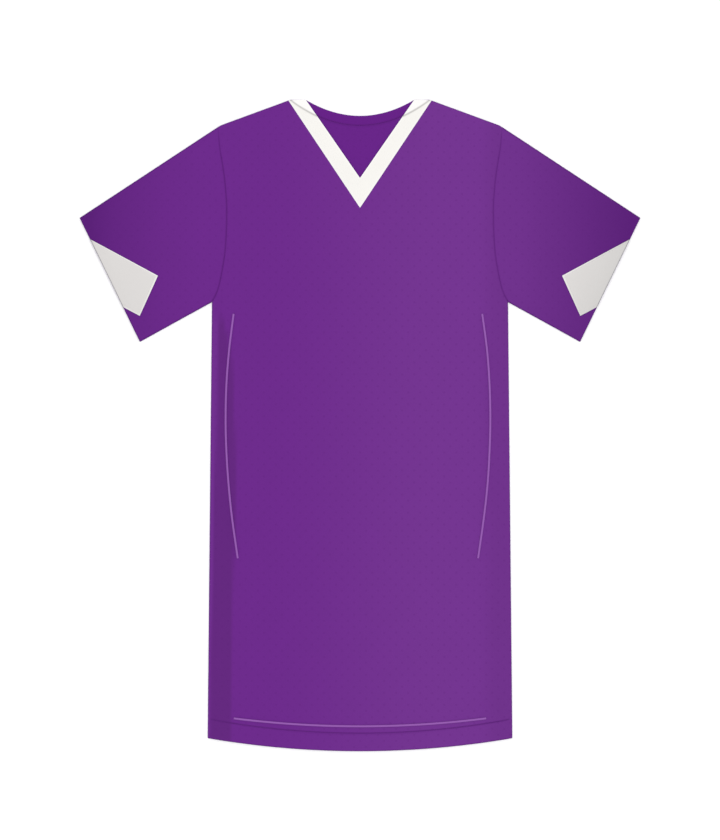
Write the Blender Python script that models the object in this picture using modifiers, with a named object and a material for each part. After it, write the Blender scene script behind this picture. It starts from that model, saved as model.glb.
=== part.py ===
"""A short-sleeved football shirt with a V neck, lying flat on its back.

Metres. The shirt lies on the XY plane with its neck towards +Y and its front up (+Z). The origin is
on the surface, under the middle of the shirt. Left and right are as seen from above.
Each piece that is cut and sewn is one object: a wall of cloth, parted from its neighbours by SEAM_GAP.
"""

import math

import bmesh
import bpy
from mathutils import Vector
from mathutils.bvhtree import BVHTree

# Drops, measured down the shirt from the neck points, the highest points of the shoulders
LENGTH = 0.8463  # to the middle of the hem
SHOULDER_DROP = 0.0353
CUFF_TOP_DROP = 0.1534
CUFF_LOW_DROP = 0.3146
UNDERARM_DROP = 0.2626
HEM_CURVE = 0.0169  # the middle of the hem hangs this much below its corners
HEM_TURN_UP = 0.0240

# Widths, each from edge to edge of the flat shirt
NECK_WIDTH = 0.1820
SHOULDER_WIDTH = 0.3690
CHEST_WIDTH = 0.3848
HEM_WIDTH = 0.3960
CUFF_TOP_WIDTH = 0.7286
CUFF_LOW_WIDTH = 0.5720

# Neck
V_DEPTH = 0.1400  # neck points to the point of the V seam
V_END_SHARE = 0.0203  # how far down the shoulder the V seam ends, as a share of the shoulder
V_BAND_WIDTH = 0.0382  # along the middle line, at the mitre
BAND_END_WIDTH = 0.0205  # from the neck point to the neckband's inner edge
BACK_SEAM_DROP = 0.0331
BACK_BAND_WIDTH = 0.0123

# Cloth
WALL = 0.0012
RIB_WALL = 0.0018  # the neckband is folded double
RIB_CROWN = 0.0002
BACK_RIB_WALL = 0.0014
FLASH_WALL = 0.0010
PIPING_WALL = 0.0010
PIPING_WIDTH = 0.0024
SEAM_GAP = 0.0003
LOFT = 0.0024  # air between the front and the back, away from the edges
MOST_AIR = 0.0038
HEM_AIR = 0.0009  # air in the mouth of the hem and of a cuff
BAND_AIR = 0.0005  # air under the neckband
MOUTH_RISE = 3.0  # how many times sooner than the loft a mouth's air rises from a closed edge
FOLD_END = 0.08  # share of the half wave along a fold's crest that is left out at each end

# The armhole seam
ARMHOLE = (  # drop, distance from the middle line
    (0.0353, 0.1845),
    (0.0624, 0.1821),
    (0.0962, 0.1767),
    (0.1300, 0.1735),
    (0.1547, 0.1731),
    (0.1950, 0.1750),
    (0.2275, 0.1801),
    (0.2483, 0.1852),
    (0.2626, 0.1924),
)
# How wide the front rolls down to the side seams. The left side lies in a wider, flatter roll.
SIDE_ROLL = (  # drop, width on the left, width on the right
    (0.2626, 0.014, 0.012),
    (0.3250, 0.023, 0.015),
    (0.4160, 0.032, 0.018),
    (0.5850, 0.035, 0.020),
    (0.7150, 0.031, 0.018),
    (0.8463, 0.030, 0.017),
)
SIDE_PIPING = (  # drop, distance from the middle line on the left, distance on the right
    (0.2782, 0.1640, 0.1586),
    (0.3250, 0.1698, 0.1648),
    (0.3700, 0.1733, 0.1681),
    (0.4160, 0.1744, 0.1691),
    (0.4580, 0.1733, 0.1680),
    (0.5000, 0.1705, 0.1654),
    (0.5425, 0.1661, 0.1607),
    (0.5954, 0.1586, 0.1532),
)
HEM_PIPING_WIDTH = 0.3276  # from end to end
HEM_PIPING_DROP = 0.8136  # at the middle line
HEM_PIPING_RISE = 0.0103  # its ends lie this much above its middle
FLASH_ON_CUFF = (0.718, 0.174)  # shares of the cuff from its top corner, at the flash's two corners
FLASH_ON_SLEEVE = (  # drop, distance from the middle line, at its other two corners
    (0.2808, 0.2860),
    (0.2288, 0.2626),
)
FLASH_INSET = 0.02  # how much nearer to its middle, as a share, the sleeve under the flash is felt
# Soft folds of the front layer
FOLDS = (  # x and y of both ends, half width, height
    (-0.1700, 0.1250, -0.1570, -0.0300, 0.012, 0.0007),
    (-0.1570, 0.0400, -0.1550, -0.2300, 0.013, 0.0008),
    (-0.1550, -0.1600, -0.1600, -0.4050, 0.013, 0.0007),
    (-0.1640, 0.1500, -0.0720, 0.0780, 0.019, 0.0006),
    (0.1660, 0.1420, 0.0560, 0.0880, 0.022, 0.0005),
    (0.1540, 0.0300, 0.1320, -0.2900, 0.024, 0.0006),
    (-0.0960, 0.3620, -0.0380, 0.2300, 0.022, 0.0005),
    (0.1040, 0.3560, 0.0420, 0.2150, 0.024, 0.0004),
    (-0.0500, -0.1200, -0.0150, -0.3600, 0.028, 0.0004),
    (0.0700, -0.2600, 0.0950, -0.3950, 0.020, 0.0005),
    (-0.2050, 0.2700, -0.3050, 0.2150, 0.018, 0.0006),
    (0.2000, 0.2350, 0.2850, 0.2050, 0.017, 0.0006),
    (-0.1900, 0.1850, -0.2700, 0.1600, 0.013, 0.0004),
    (0.1950, 0.1980, 0.2700, 0.1480, 0.012, 0.0004),
)

# How finely the pieces are divided
BODY_ROWS = 16
ARMHOLE_ROWS = 12
FRONT_NECK_ROWS = 6
BACK_NECK_ROWS = 6  # of the back and of its neckband, which so meet along the same line
FRONT_COLUMNS = 9
BACK_COLUMNS = 4
SLEEVE_RINGS = 9
FOLD_STEPS = 4
BAND_ROWS = 8
BAND_COLUMNS = 4
PIPING_ROWS = 34
PIPING_COLUMNS = 2
FLASH_ROWS = 6
CURVE_STEPS = 8
END_PULL = 0.7  # how much closer together rows are near both ends
EDGE_PULL = 1.5  # how much closer together columns are near the outer edge
HEM_FADE = 4  # the higher, the sooner the rows above the hem lose its curve
PIPING_AHEAD = 0.01  # how far along the piping, as a share, its direction is read

TOP = LENGTH / 2  # y of the neck points
LYING = WALL / 2  # height of the middle of a wall that lies on the surface
HALF_GAP = SEAM_GAP / 2
SIDES = {"left": -1, "right": 1}

PURPLE = (0.159, 0.026, 0.270)
DEEP_PURPLE = (0.144, 0.019, 0.250)
WHITE = (0.945, 0.922, 0.896)
FLASH_WHITE = (0.760, 0.735, 0.730)
LILAC = (0.300, 0.120, 0.420)
KNIT_ROUGHNESS = 0.70
RIB_ROUGHNESS = 0.75
TAPE_ROUGHNESS = 0.55


# Lines and tables


def at(distance, drop):
    """The point at that distance from the middle line and that drop below the neck points."""
    return Vector((distance, TOP - drop))


def smooth_line(points):
    """A Catmull-Rom curve through the points."""
    line = []
    ends = [2 * points[0] - points[1], *points, 2 * points[-1] - points[-2]]
    for before, start, end, after in zip(ends, ends[1:], ends[2:], ends[3:]):
        for step in range(CURVE_STEPS):
            t = step / CURVE_STEPS
            bend = (2 * before - 5 * start + 4 * end - after) * t**2
            twist = (3 * start - before - 3 * end + after) * t**3
            line.append((2 * start + (end - before) * t + bend + twist) / 2)
    return [*line, points[-1]]


def along(line, share):
    """The point at this share of the line's length."""
    lengths = [(end - start).length for start, end in zip(line, line[1:])]
    left = share * sum(lengths)
    for start, end, length in zip(line, line[1:], lengths):
        if left <= length:
            return start.lerp(end, left / length)
        left -= length
    return line[-1].copy()


def even_shares(count):
    return [step / count for step in range(count + 1)]


def shares_closer_at_ends(count):
    turn = 2 * math.pi
    return [t - END_PULL * math.sin(turn * t) / turn for t in even_shares(count)]


def shares_closer_at_edge(count):
    return [1 - (1 - t) ** EDGE_PULL for t in even_shares(count)]


def read_table(table, key, column):
    """The column's value at key, along straight lines between the table's rows."""
    if key <= table[0][0]:
        return table[0][column]
    for low, high in zip(table, table[1:]):
        if key <= high[0]:
            share = (key - low[0]) / (high[0] - low[0])
            return low[column] + (high[column] - low[column]) * share
    return table[-1][column]


def eased(share):
    share = min(max(share, 0.0), 1.0)
    return share * share * (3 - 2 * share)


def near(point, start, end):
    """Distance to a straight line between two points, and the share of it at the nearest point."""
    span = end - start
    share = min(max((point - start).dot(span) / span.length_squared, 0.0), 1.0)
    return (point - start - span * share).length, share


# Plan of the right half of the shirt


NECK_POINT = at(NECK_WIDTH / 2, 0)
BAND_END = at(NECK_WIDTH / 2 - BAND_END_WIDTH, 0)
SHOULDER_TIP = at(SHOULDER_WIDTH / 2, SHOULDER_DROP)
CUFF_TOP = at(CUFF_TOP_WIDTH / 2, CUFF_TOP_DROP)
CUFF_LOW = at(CUFF_LOW_WIDTH / 2, CUFF_LOW_DROP)
UNDERARM = at(CHEST_WIDTH / 2, UNDERARM_DROP)
HEM_CORNER = at(HEM_WIDTH / 2, LENGTH - HEM_CURVE)
HEM_MIDDLE = at(0, LENGTH)
V_SEAM = at(0, V_DEPTH)
V_END = NECK_POINT.lerp(SHOULDER_TIP, V_END_SHARE)
V_EDGE = at(0, V_DEPTH - V_BAND_WIDTH)
ARMHOLE_LINE = smooth_line([at(distance, drop) for drop, distance in reversed(ARMHOLE)])

CLOSED_EDGES = (  # start, end, how wide the front rolls down to the edge
    (NECK_POINT, SHOULDER_TIP, 0.016),
    (SHOULDER_TIP, CUFF_TOP, 0.018),
    (CUFF_LOW, UNDERARM, 0.016),
)
OPEN_EDGES = (  # start, end, how wide the front rolls down to the edge, air under the edge
    (CUFF_TOP, CUFF_LOW, 0.014, HEM_AIR),
    (V_END, V_SEAM, 0.020, BAND_AIR),
)


def hem_height(x):
    """The hem's y, an even curve that is lowest on the middle line."""
    return HEM_MIDDLE.y + HEM_CURVE * (x / HEM_CORNER.x) ** 2


def neck_curve(half_width, drop, gap):
    """The back neck from the middle line to its end, moved down by a gap."""
    return [at((half_width + gap) * t, drop * (1 - t**2) + gap) for t in even_shares(CURVE_STEPS)]


def armhole_points():
    return [along(ARMHOLE_LINE, share) for share in shares_closer_at_ends(ARMHOLE_ROWS)]


# Height of the front layer


def fold_height(point):
    height = 0.0
    for x0, y0, x1, y1, half_width, crest in FOLDS:
        distance, share = near(point, Vector((x0, y0)), Vector((x1, y1)))
        fading = math.sin(math.pi * (FOLD_END + (1 - 2 * FOLD_END) * share))
        height += crest * fading * (1 - eased(distance / half_width / 2))
    return height


def air_at(point):
    """How far the front layer stands above the back layer."""
    folded = Vector((abs(point.x), point.y))
    roll = read_table(SIDE_ROLL, TOP - point.y, 1 if point.x < 0 else 2)
    closed = [(near(folded, start, end)[0], width) for start, end, width in CLOSED_EDGES]
    closed.append((near(folded, UNDERARM, HEM_CORNER)[0], roll))
    opened = [(near(folded, start, end)[0], width, air) for start, end, width, air in OPEN_EDGES]
    opened.append((max(point.y - hem_height(point.x), 0.0), HEM_TURN_UP, HEM_AIR))
    away_from_seams = math.prod(eased(MOUTH_RISE * distance / width) for distance, width in closed)
    inside = math.prod(eased(distance / width) for distance, width in closed)
    mouth = 0.0
    for distance, width, air in opened:
        mouth += (air - SEAM_GAP) * (1 - eased(distance / width))
        inside *= eased(distance / width)
    loft = LOFT + fold_height(point) - SEAM_GAP
    return min(SEAM_GAP + mouth * away_from_seams + loft * inside, MOST_AIR)


def front_height(point):
    """Height of the middle of the front layer's wall."""
    return WALL + air_at(point) + LYING


def lying_height(point):
    return LYING


# Making the pieces


def start_clean():
    for thing in list(bpy.data.objects):
        bpy.data.objects.remove(thing, do_unlink=True)
    shirt = bpy.data.collections.new("football_shirt")
    bpy.context.scene.collection.children.link(shirt)
    return shirt


def cloth_material(name, colour, roughness):
    material = bpy.data.materials.new(name)
    material.use_nodes = True
    surface = material.node_tree.nodes["Principled BSDF"]
    surface.inputs["Base Color"].default_value = (*colour, 1.0)
    surface.inputs["Roughness"].default_value = roughness
    surface.inputs["Metallic"].default_value = 0.0
    material.diffuse_color = (*colour, 1.0)
    return material


def cloth_piece(name, grids, wall, material, shirt, rings=False):
    """A wall of cloth over grids of points that join where they meet. Rings close on themselves."""
    build = bmesh.new()
    for rows in grids:
        lines = [[build.verts.new(point) for point in row] for row in rows]
        if rings:
            lines = [[*line, line[0]] for line in lines]
        for low, high in zip(lines, lines[1:]):
            for corners in zip(low, low[1:], high[1:], high):
                build.faces.new(corners)
    bmesh.ops.remove_doubles(build, verts=build.verts, dist=1e-6)
    mesh = bpy.data.meshes.new(name)
    build.to_mesh(mesh)
    build.free()
    mesh.shade_smooth()
    mesh.materials.append(material)
    piece = bpy.data.objects.new(name, mesh)
    shirt.objects.link(piece)
    solid = piece.modifiers.new("Wall", "SOLIDIFY")
    solid.thickness = wall
    solid.offset = 0.0
    return piece


def both_halves(half_rows, height):
    """Grids of the right half and its mirror image, each at its own height, with faces up."""
    right = [[(*point, height(point)) for point in row] for row in half_rows]
    left_plan = [[Vector((-point.x, point.y)) for point in reversed(row)] for row in half_rows]
    left = [[(*point, height(point)) for point in row] for row in left_plan]
    return [right, left]


def panel_rows(neck_line, neck_rows, columns):
    """Rows of the right half of a panel, each from the middle line or neck to the outer edge."""
    body = shares_closer_at_ends(BODY_ROWS)[:-1]
    outer = [HEM_CORNER.lerp(UNDERARM, share) for share in body]
    inner = [HEM_MIDDLE.lerp(at(0, UNDERARM_DROP), share) for share in body]
    outer += [Vector((point.x - SEAM_GAP, point.y)) for point in armhole_points()]
    rise = ARMHOLE_ROWS - neck_rows
    inner += [at(0, UNDERARM_DROP).lerp(neck_line[0], step / rise) for step in range(rise)]
    inner += [along(neck_line, share) for share in even_shares(neck_rows)]
    shares = shares_closer_at_edge(columns)
    rows = [[start.lerp(end, share) for share in shares] for start, end in zip(inner, outer)]
    for row, share in zip(rows, body):
        for point in row:
            chord = HEM_MIDDLE.y + HEM_CURVE * point.x / HEM_CORNER.x
            point.y += (hem_height(point.x) - chord) * (1 - share) ** HEM_FADE
    return rows


def front(material, shirt):
    """The front panel, whose neckline runs a seam's gap outside the neckband's outer edge."""
    up = (V_END - V_SEAM).normalized()
    outwards = Vector((up.y, -up.x))
    seam = [at(0, V_DEPTH + SEAM_GAP / up.x), V_END + outwards * SEAM_GAP]
    rows = panel_rows(seam, FRONT_NECK_ROWS, FRONT_COLUMNS)
    return cloth_piece("front", both_halves(rows, front_height), WALL, material, shirt)


def back(material, shirt):
    seam = neck_curve(NECK_WIDTH / 2, BACK_SEAM_DROP, HALF_GAP)
    rows = panel_rows(seam, BACK_NECK_ROWS, BACK_COLUMNS)
    return cloth_piece("back", both_halves(rows, lying_height), WALL, material, shirt)


def fold_points(edge, inwards):
    """The turn of the cloth from the back layer over to the front layer, at an edge of a sleeve."""
    radius = (WALL + SEAM_GAP) / 2
    centre = edge + inwards * (LYING + radius)
    points = []
    for share in even_shares(FOLD_STEPS):
        turn = math.pi * (share - 0.5)
        place = centre - inwards * radius * math.cos(turn)
        points.append((*place, LYING + radius + radius * math.sin(turn)))
    return points


def sleeve_ring(plan):
    """A ring round a flattened sleeve, from its under seam over the front and back underneath."""
    low_fold = fold_points(plan[0], (plan[1] - plan[0]).normalized())
    top_fold = fold_points(plan[-1], (plan[-2] - plan[-1]).normalized())
    over = [(*point, front_height(point)) for point in plan[1:-1]]
    under = [(*point, LYING) for point in reversed(plan[1:-1])]
    return [*low_fold, *over, *reversed(top_fold), *under]


def sleeve(name, side, material, shirt):
    armhole = armhole_points()
    armhole_shares = shares_closer_at_ends(ARMHOLE_ROWS)
    cuff = [CUFF_LOW.lerp(CUFF_TOP, share) for share in armhole_shares]
    length = (CUFF_TOP - SHOULDER_TIP).length
    rings = []
    for share in shares_closer_at_edge(SLEEVE_RINGS):
        away = max(share, SEAM_GAP / length)
        plan = [start.lerp(end, away) for start, end in zip(armhole, cuff)]
        plan = [Vector((side * point.x, point.y)) for point in plan]
        rings.append(sleeve_ring(plan))
    if side > 0:
        rings.reverse()
    return cloth_piece(name, [rings], WALL, material, shirt, rings=True)


def front_neckband(material, shirt):
    """Two straight arms that meet in a mitre at the point of the V."""
    outer = [V_SEAM, V_END]
    inner = [V_EDGE, BAND_END]
    rows = []
    for share in even_shares(BAND_ROWS):
        start = along(inner, share)
        end = along(outer, share)
        rows.append([start.lerp(end, across) for across in even_shares(BAND_COLUMNS)])

    def height(point):
        edges = (near(Vector((abs(point.x), point.y)), *line)[0] for line in (outer, inner))
        across = min(edges) / (BAND_END_WIDTH / 2)
        return WALL + BAND_AIR + RIB_WALL / 2 + RIB_CROWN * eased(across)

    return cloth_piece("neckband_front", both_halves(rows, height), RIB_WALL, material, shirt)


def back_neckband(material, shirt):
    """A curved strip along the back neck, lying on the surface."""
    outer = neck_curve(NECK_WIDTH / 2, BACK_SEAM_DROP, -HALF_GAP)
    inner = neck_curve(BAND_END.x, BACK_SEAM_DROP - BACK_BAND_WIDTH, 0)
    rows = []
    for share in even_shares(BACK_NECK_ROWS):
        start = along(outer, share)
        end = along(inner, share)
        rows.append([start.lerp(end, across) for across in even_shares(BAND_COLUMNS)])

    def height(point):
        return BACK_RIB_WALL / 2

    grids = [[row[::-1] for row in grid] for grid in both_halves(rows, height)]
    return cloth_piece("neckband_back", grids, BACK_RIB_WALL, material, shirt)


def top_of(piece):
    """A function that reads how high a finished piece is at a point."""
    bpy.context.view_layer.update()
    surface = BVHTree.FromObject(piece, bpy.context.evaluated_depsgraph_get())

    def height(point):
        return surface.ray_cast(Vector((*point, TOP)), Vector((0, 0, -1)))[0].z

    return height


def side_line(side):
    line = smooth_line([at(left if side < 0 else right, drop) for drop, left, right in SIDE_PIPING])
    return [Vector((side * point.x, point.y)) for point in line]


def hem_line():
    shares = [2 * share - 1 for share in even_shares(PIPING_ROWS)]
    half = HEM_PIPING_WIDTH / 2
    return [at(half * share, HEM_PIPING_DROP - HEM_PIPING_RISE * share**2) for share in shares]


def piping(name, line, under, material, shirt):
    """A narrow tape laid on the front along a line."""
    height = top_of(under)
    rows = []
    for share in even_shares(PIPING_ROWS):
        middle = along(line, share)
        ahead = along(line, min(share + PIPING_AHEAD, 1.0))
        behind = along(line, max(share - PIPING_AHEAD, 0.0))
        down = (ahead - behind).normalized()
        across = Vector((-down.y, down.x)) * PIPING_WIDTH
        plan = [middle + across * (column - 0.5) for column in even_shares(PIPING_COLUMNS)]
        lift = SEAM_GAP + PIPING_WALL / 2
        rows.append([(*point, height(point) + lift) for point in plan])
    return cloth_piece(name, [rows], PIPING_WALL, material, shirt)


def sleeve_panel(name, side, under, material, shirt):
    """A four-sided panel laid on the front of a sleeve, with one side along the cuff."""
    corners = [CUFF_TOP.lerp(CUFF_LOW, share) for share in FLASH_ON_CUFF]
    corners += [at(distance, drop) for drop, distance in FLASH_ON_SLEEVE]
    corners = [Vector((side * corner.x, corner.y)) for corner in corners]
    cuff_low, cuff_top, inner_low, inner_top = corners
    middle = sum(corners, Vector((0, 0))) / len(corners)
    height = top_of(under)
    rows = []
    for share in even_shares(FLASH_ROWS):
        start = cuff_low.lerp(cuff_top, share)
        end = inner_low.lerp(inner_top, share)
        plan = [start.lerp(end, across) for across in even_shares(FLASH_ROWS)]
        lift = SEAM_GAP + FLASH_WALL / 2
        rows.append([(*point, height(point.lerp(middle, FLASH_INSET)) + lift) for point in plan])
    if side > 0:
        rows.reverse()
    return cloth_piece(name, [rows], FLASH_WALL, material, shirt)


def main():
    shirt = start_clean()
    purple = cloth_material("purple_knit", PURPLE, KNIT_ROUGHNESS)
    deep_purple = cloth_material("purple_rib", DEEP_PURPLE, RIB_ROUGHNESS)
    white = cloth_material("white_rib", WHITE, RIB_ROUGHNESS)
    flash_white = cloth_material("white_knit", FLASH_WHITE, KNIT_ROUGHNESS)
    lilac = cloth_material("lilac_tape", LILAC, TAPE_ROUGHNESS)
    back(purple, shirt)
    front_piece = front(purple, shirt)
    front_neckband(white, shirt)
    back_neckband(deep_purple, shirt)
    for label, side in SIDES.items():
        sleeve_piece = sleeve(f"sleeve_{label}", side, purple, shirt)
        sleeve_panel(f"sleeve_panel_{label}", side, sleeve_piece, flash_white, shirt)
        piping(f"piping_{label}", side_line(side), front_piece, lilac, shirt)
    piping("piping_hem", hem_line(), front_piece, lilac, shirt)


main()
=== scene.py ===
"""Dresses a short-sleeved football shirt that lies flat on its back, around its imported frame.

Metres. The shirt lies on the XY plane with its neck towards +Y and its front up. Left and right are as
seen from above. Drops are measured down the shirt from the neck points.
"""

import math
from functools import partial

import bmesh
import bpy
import numpy as np
from bpy.props import FloatProperty, FloatVectorProperty, PointerProperty
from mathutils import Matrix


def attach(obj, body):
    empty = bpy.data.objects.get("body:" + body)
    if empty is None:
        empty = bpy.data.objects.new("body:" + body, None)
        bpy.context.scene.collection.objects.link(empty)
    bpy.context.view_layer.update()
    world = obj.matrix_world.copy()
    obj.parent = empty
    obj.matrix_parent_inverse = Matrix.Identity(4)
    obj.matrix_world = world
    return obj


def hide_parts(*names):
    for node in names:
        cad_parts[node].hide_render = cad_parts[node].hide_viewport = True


bl_info = {
    "name": "Football Shirt",
    "version": (1, 0, 0),
    "blender": (4, 5, 0),
    "location": "View3D > Sidebar > Shirt",
    "description": "Knit panels, neckband, flashes, piping and sewing of a football shirt laid flat",
    "category": "Add Mesh",
}

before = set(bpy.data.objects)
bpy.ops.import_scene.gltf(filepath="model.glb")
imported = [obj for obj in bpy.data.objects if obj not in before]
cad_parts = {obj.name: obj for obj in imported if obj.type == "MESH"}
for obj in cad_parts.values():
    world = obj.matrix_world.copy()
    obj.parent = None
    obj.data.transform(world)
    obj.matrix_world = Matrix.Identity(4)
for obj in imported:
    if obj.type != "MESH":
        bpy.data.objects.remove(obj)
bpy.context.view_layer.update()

# The cut of the shirt, as in its solids
LENGTH = 0.8463
SHOULDER_DROP = 0.0353
CUFF_TOP_DROP = 0.1534
CUFF_LOW_DROP = 0.3146
UNDERARM_DROP = 0.2626
HEM_CURVE = 0.0169
HEM_TURN_UP = 0.0240
NECK_WIDTH = 0.1820
SHOULDER_WIDTH = 0.3690
CHEST_WIDTH = 0.3848
HEM_WIDTH = 0.3960
CUFF_TOP_WIDTH = 0.7286
CUFF_LOW_WIDTH = 0.5720
V_DEPTH = 0.1400
V_END_SHARE = 0.0203  # how far down the shoulder the V seam ends, as a share of the shoulder
V_BAND_WIDTH = 0.0382
BAND_END_WIDTH = 0.0205
BACK_SEAM_DROP = 0.0331
BACK_BAND_WIDTH = 0.0123

# Walls and the air between the layers
WALL = 0.0012
RIB_WALL = 0.0018
BACK_RIB_WALL = 0.0014
FLASH_WALL = 0.0010
PIPING_WALL = 0.0010
PIPING_WIDTH = 0.0024
SEAM_GAP = 0.0003
LOFT = 0.0024
MOST_AIR = 0.0038
HEM_AIR = 0.0009
BAND_AIR = 0.0005
MOUTH_RISE = 3.0
FOLD_END = 0.08

ARMHOLE = (  # drop, distance from the middle line
    (0.0353, 0.1845),
    (0.0624, 0.1821),
    (0.0962, 0.1767),
    (0.1300, 0.1735),
    (0.1547, 0.1731),
    (0.1950, 0.1750),
    (0.2275, 0.1801),
    (0.2483, 0.1852),
    (0.2626, 0.1924),
)
SIDE_ROLL = (  # drop, width of the roll at the left side, at the right side
    (0.2626, 0.014, 0.012),
    (0.3250, 0.023, 0.015),
    (0.4160, 0.032, 0.018),
    (0.5850, 0.035, 0.020),
    (0.7150, 0.031, 0.018),
    (0.8463, 0.030, 0.017),
)
SIDE_PIPING = (  # drop, distance from the middle line on the left, distance on the right
    (0.2782, 0.1640, 0.1586),
    (0.3250, 0.1698, 0.1648),
    (0.3700, 0.1733, 0.1681),
    (0.4160, 0.1744, 0.1691),
    (0.4580, 0.1733, 0.1680),
    (0.5000, 0.1705, 0.1654),
    (0.5425, 0.1661, 0.1607),
    (0.5954, 0.1586, 0.1532),
)
HEM_PIPING_WIDTH = 0.3276
HEM_PIPING_DROP = 0.8136
HEM_PIPING_RISE = 0.0103
FLASH_ON_CUFF = (0.718, 0.174)  # shares of the cuff from its top corner
FLASH_ON_SLEEVE = (  # drop, distance from the middle line
    (0.2808, 0.2860),
    (0.2288, 0.2626),
)
FOLDS = (  # x and y of both ends, half width, height
    (-0.1700, 0.1250, -0.1570, -0.0300, 0.012, 0.0007),
    (-0.1570, 0.0400, -0.1550, -0.2300, 0.013, 0.0008),
    (-0.1550, -0.1600, -0.1600, -0.4050, 0.013, 0.0007),
    (-0.1640, 0.1500, -0.0720, 0.0780, 0.019, 0.0006),
    (0.1660, 0.1420, 0.0560, 0.0880, 0.022, 0.0005),
    (0.1540, 0.0300, 0.1320, -0.2900, 0.024, 0.0006),
    (-0.0960, 0.3620, -0.0380, 0.2300, 0.022, 0.0005),
    (0.1040, 0.3560, 0.0420, 0.2150, 0.024, 0.0004),
    (-0.0500, -0.1200, -0.0150, -0.3600, 0.028, 0.0004),
    (0.0700, -0.2600, 0.0950, -0.3950, 0.020, 0.0005),
    (-0.2050, 0.2700, -0.3050, 0.2150, 0.018, 0.0006),
    (0.2000, 0.2350, 0.2850, 0.2050, 0.017, 0.0006),
    (-0.1900, 0.1850, -0.2700, 0.1600, 0.013, 0.0004),
    (0.1950, 0.1980, 0.2700, 0.1480, 0.012, 0.0004),
)

# Edges and seams, finer than in the solids
SHOULDER_BOW = 0.0009  # how far each shoulder's edge bows out
SHOULDER_BOW_REACH = 0.03
SHOULDER_TURN = 0.96  # share of the shoulder at which it bows out most
CUFF_TRIM = 0.0002  # how far the cuffs lie in from the solids'
HEM_TRIM = 0.0002
TRIM_REACH = 0.12  # how far from the cuffs and the hem the cloth is moved
SEWN_GAP = 0.00006  # between two pieces along their seam
TURN = 0.00075  # radius of the middle of the wall where it turns over a closed edge
DRAW_IN_REACH = 0.006  # how far from such an edge the front is drawn in
RIM_ROUNDING = 0.00034
TRIM_ROUNDING = 0.0003  # of the rims of the flashes and the tapes
BAND_ROUNDING = 0.00045  # of both neckbands' rims
ROUNDED_FROM = 60  # degrees between two faces, above which the edge between them is a rim
SEAM_DIP = 0.0009  # how deep the cloth dips into a seam
SEAM_DIP_WIDTH = 0.0012
SEAM_DIP_CURVE = 0.97  # 1 lets the dip end upright in the seam
HEM_SEAM_UP = 0.0236  # how far the hem's sewing runs above the hem, at the middle line
HEM_SEAM_RISE = 0.0016  # how much further at the side seams
SEWING_END = 0.004  # how far from the side seams it stops
HEM_GROOVE = 0.00035  # how deep the sewing presses in at the top of the hem
HEM_GROOVE_WIDTH = 0.0016  # half of it
OPEN_END_DIP = 0.0002  # how much the front layer is pressed down at the hem and the cuffs
OPEN_END_WIDTH = 0.0012

# Neckbands
BAND_CROWN = 0.0003  # how much higher the middle of the front neckband stands than its edges
BAND_DIP = 0.0004  # how much its outer edge is pressed down by the seam
BACK_BAND_DIP = 0.00012  # the same of the back neckband
MITRE_DEPTH = 0.00015
MITRE_SHADE = 0.03
CREASE_DEPTH = 0.0003  # of the crease over the back neck seam
CREASE_WIDTH = 0.0011  # half of it, also of the mitre
CREASE_POWER = 2.12  # how fast the crease rises from the back neck seam towards the neck points
CREASE_SHADE_WIDTH = 0.0019
BAND_LIGHT_WIDTH = 0.0024  # of the light along the front neckband's edges
BAND_END_LIGHT = 0.002  # how far beyond the crease its ends are in full light

# Puckers and the hem's waves
PUCKER_SEED = 7
PUCKER_COUNT = 40
PUCKER_SPACING = 0.011
PUCKER_STEPS = (0.7, 1.45)  # least and greatest step between two, against the spacing
PUCKER_CRESTS = (-0.5, 1.0)  # least and greatest height, against the pucker height
PUCKER_START = 0.003  # how far from its seam a pucker has risen
PUCKER_REACH = 0.013  # how far from its seam it has faded
PUCKER_LOW_END = 0.02  # over which the puckers begin at the underarm
PUCKER_HIGH_END = 0.03  # over which they end at the shoulder
HEM_RIPPLE = 0.35  # height of the hem's waves, against the pucker height
HEM_RIPPLE_START = 0.010  # how far above the hem they have risen
HEM_RIPPLE_REACH = 0.046  # how far above the hem they have faded
HEM_WAVE = 231  # radians a metre
HEM_WAVE_DRIFT = (1.3, 61)  # how far they stray from even steps in radians, radians a metre
HEM_SMALL_WAVE = (0.6, 397, 2.0)  # height against a wave's, radians a metre, start in radians

# Shades and lights along seams and edges
SEAM_SHADE_WIDTH = 0.0019  # half the width of the darkened cloth along a seam
SEAM_SHADE_END = 0.007  # how far from the shoulder the armhole's shade ends
SEAM_SHADE_FADE = 0.007  # over which it fades there
SEAM_SHADE_FAINT = 0.06  # how far from the shoulder it is fainter
HEM_SHADE_END = 0.012  # over which the hem's shade fades towards the side seams
NECK_SHADE_WIDTH = 0.0025  # half the width of the shade along the back neck seam
LEFT_SEAM_SHADE = 0.75  # how dark the left armhole seam shows, and the hem's
RIGHT_SEAM_SHADE = 0.55
NECK_SEAM_SHADE = 0.65
OUTLINE_SHADE = 0.8
OUTLINE_SHADE_WIDTH = 0.0018

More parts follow.
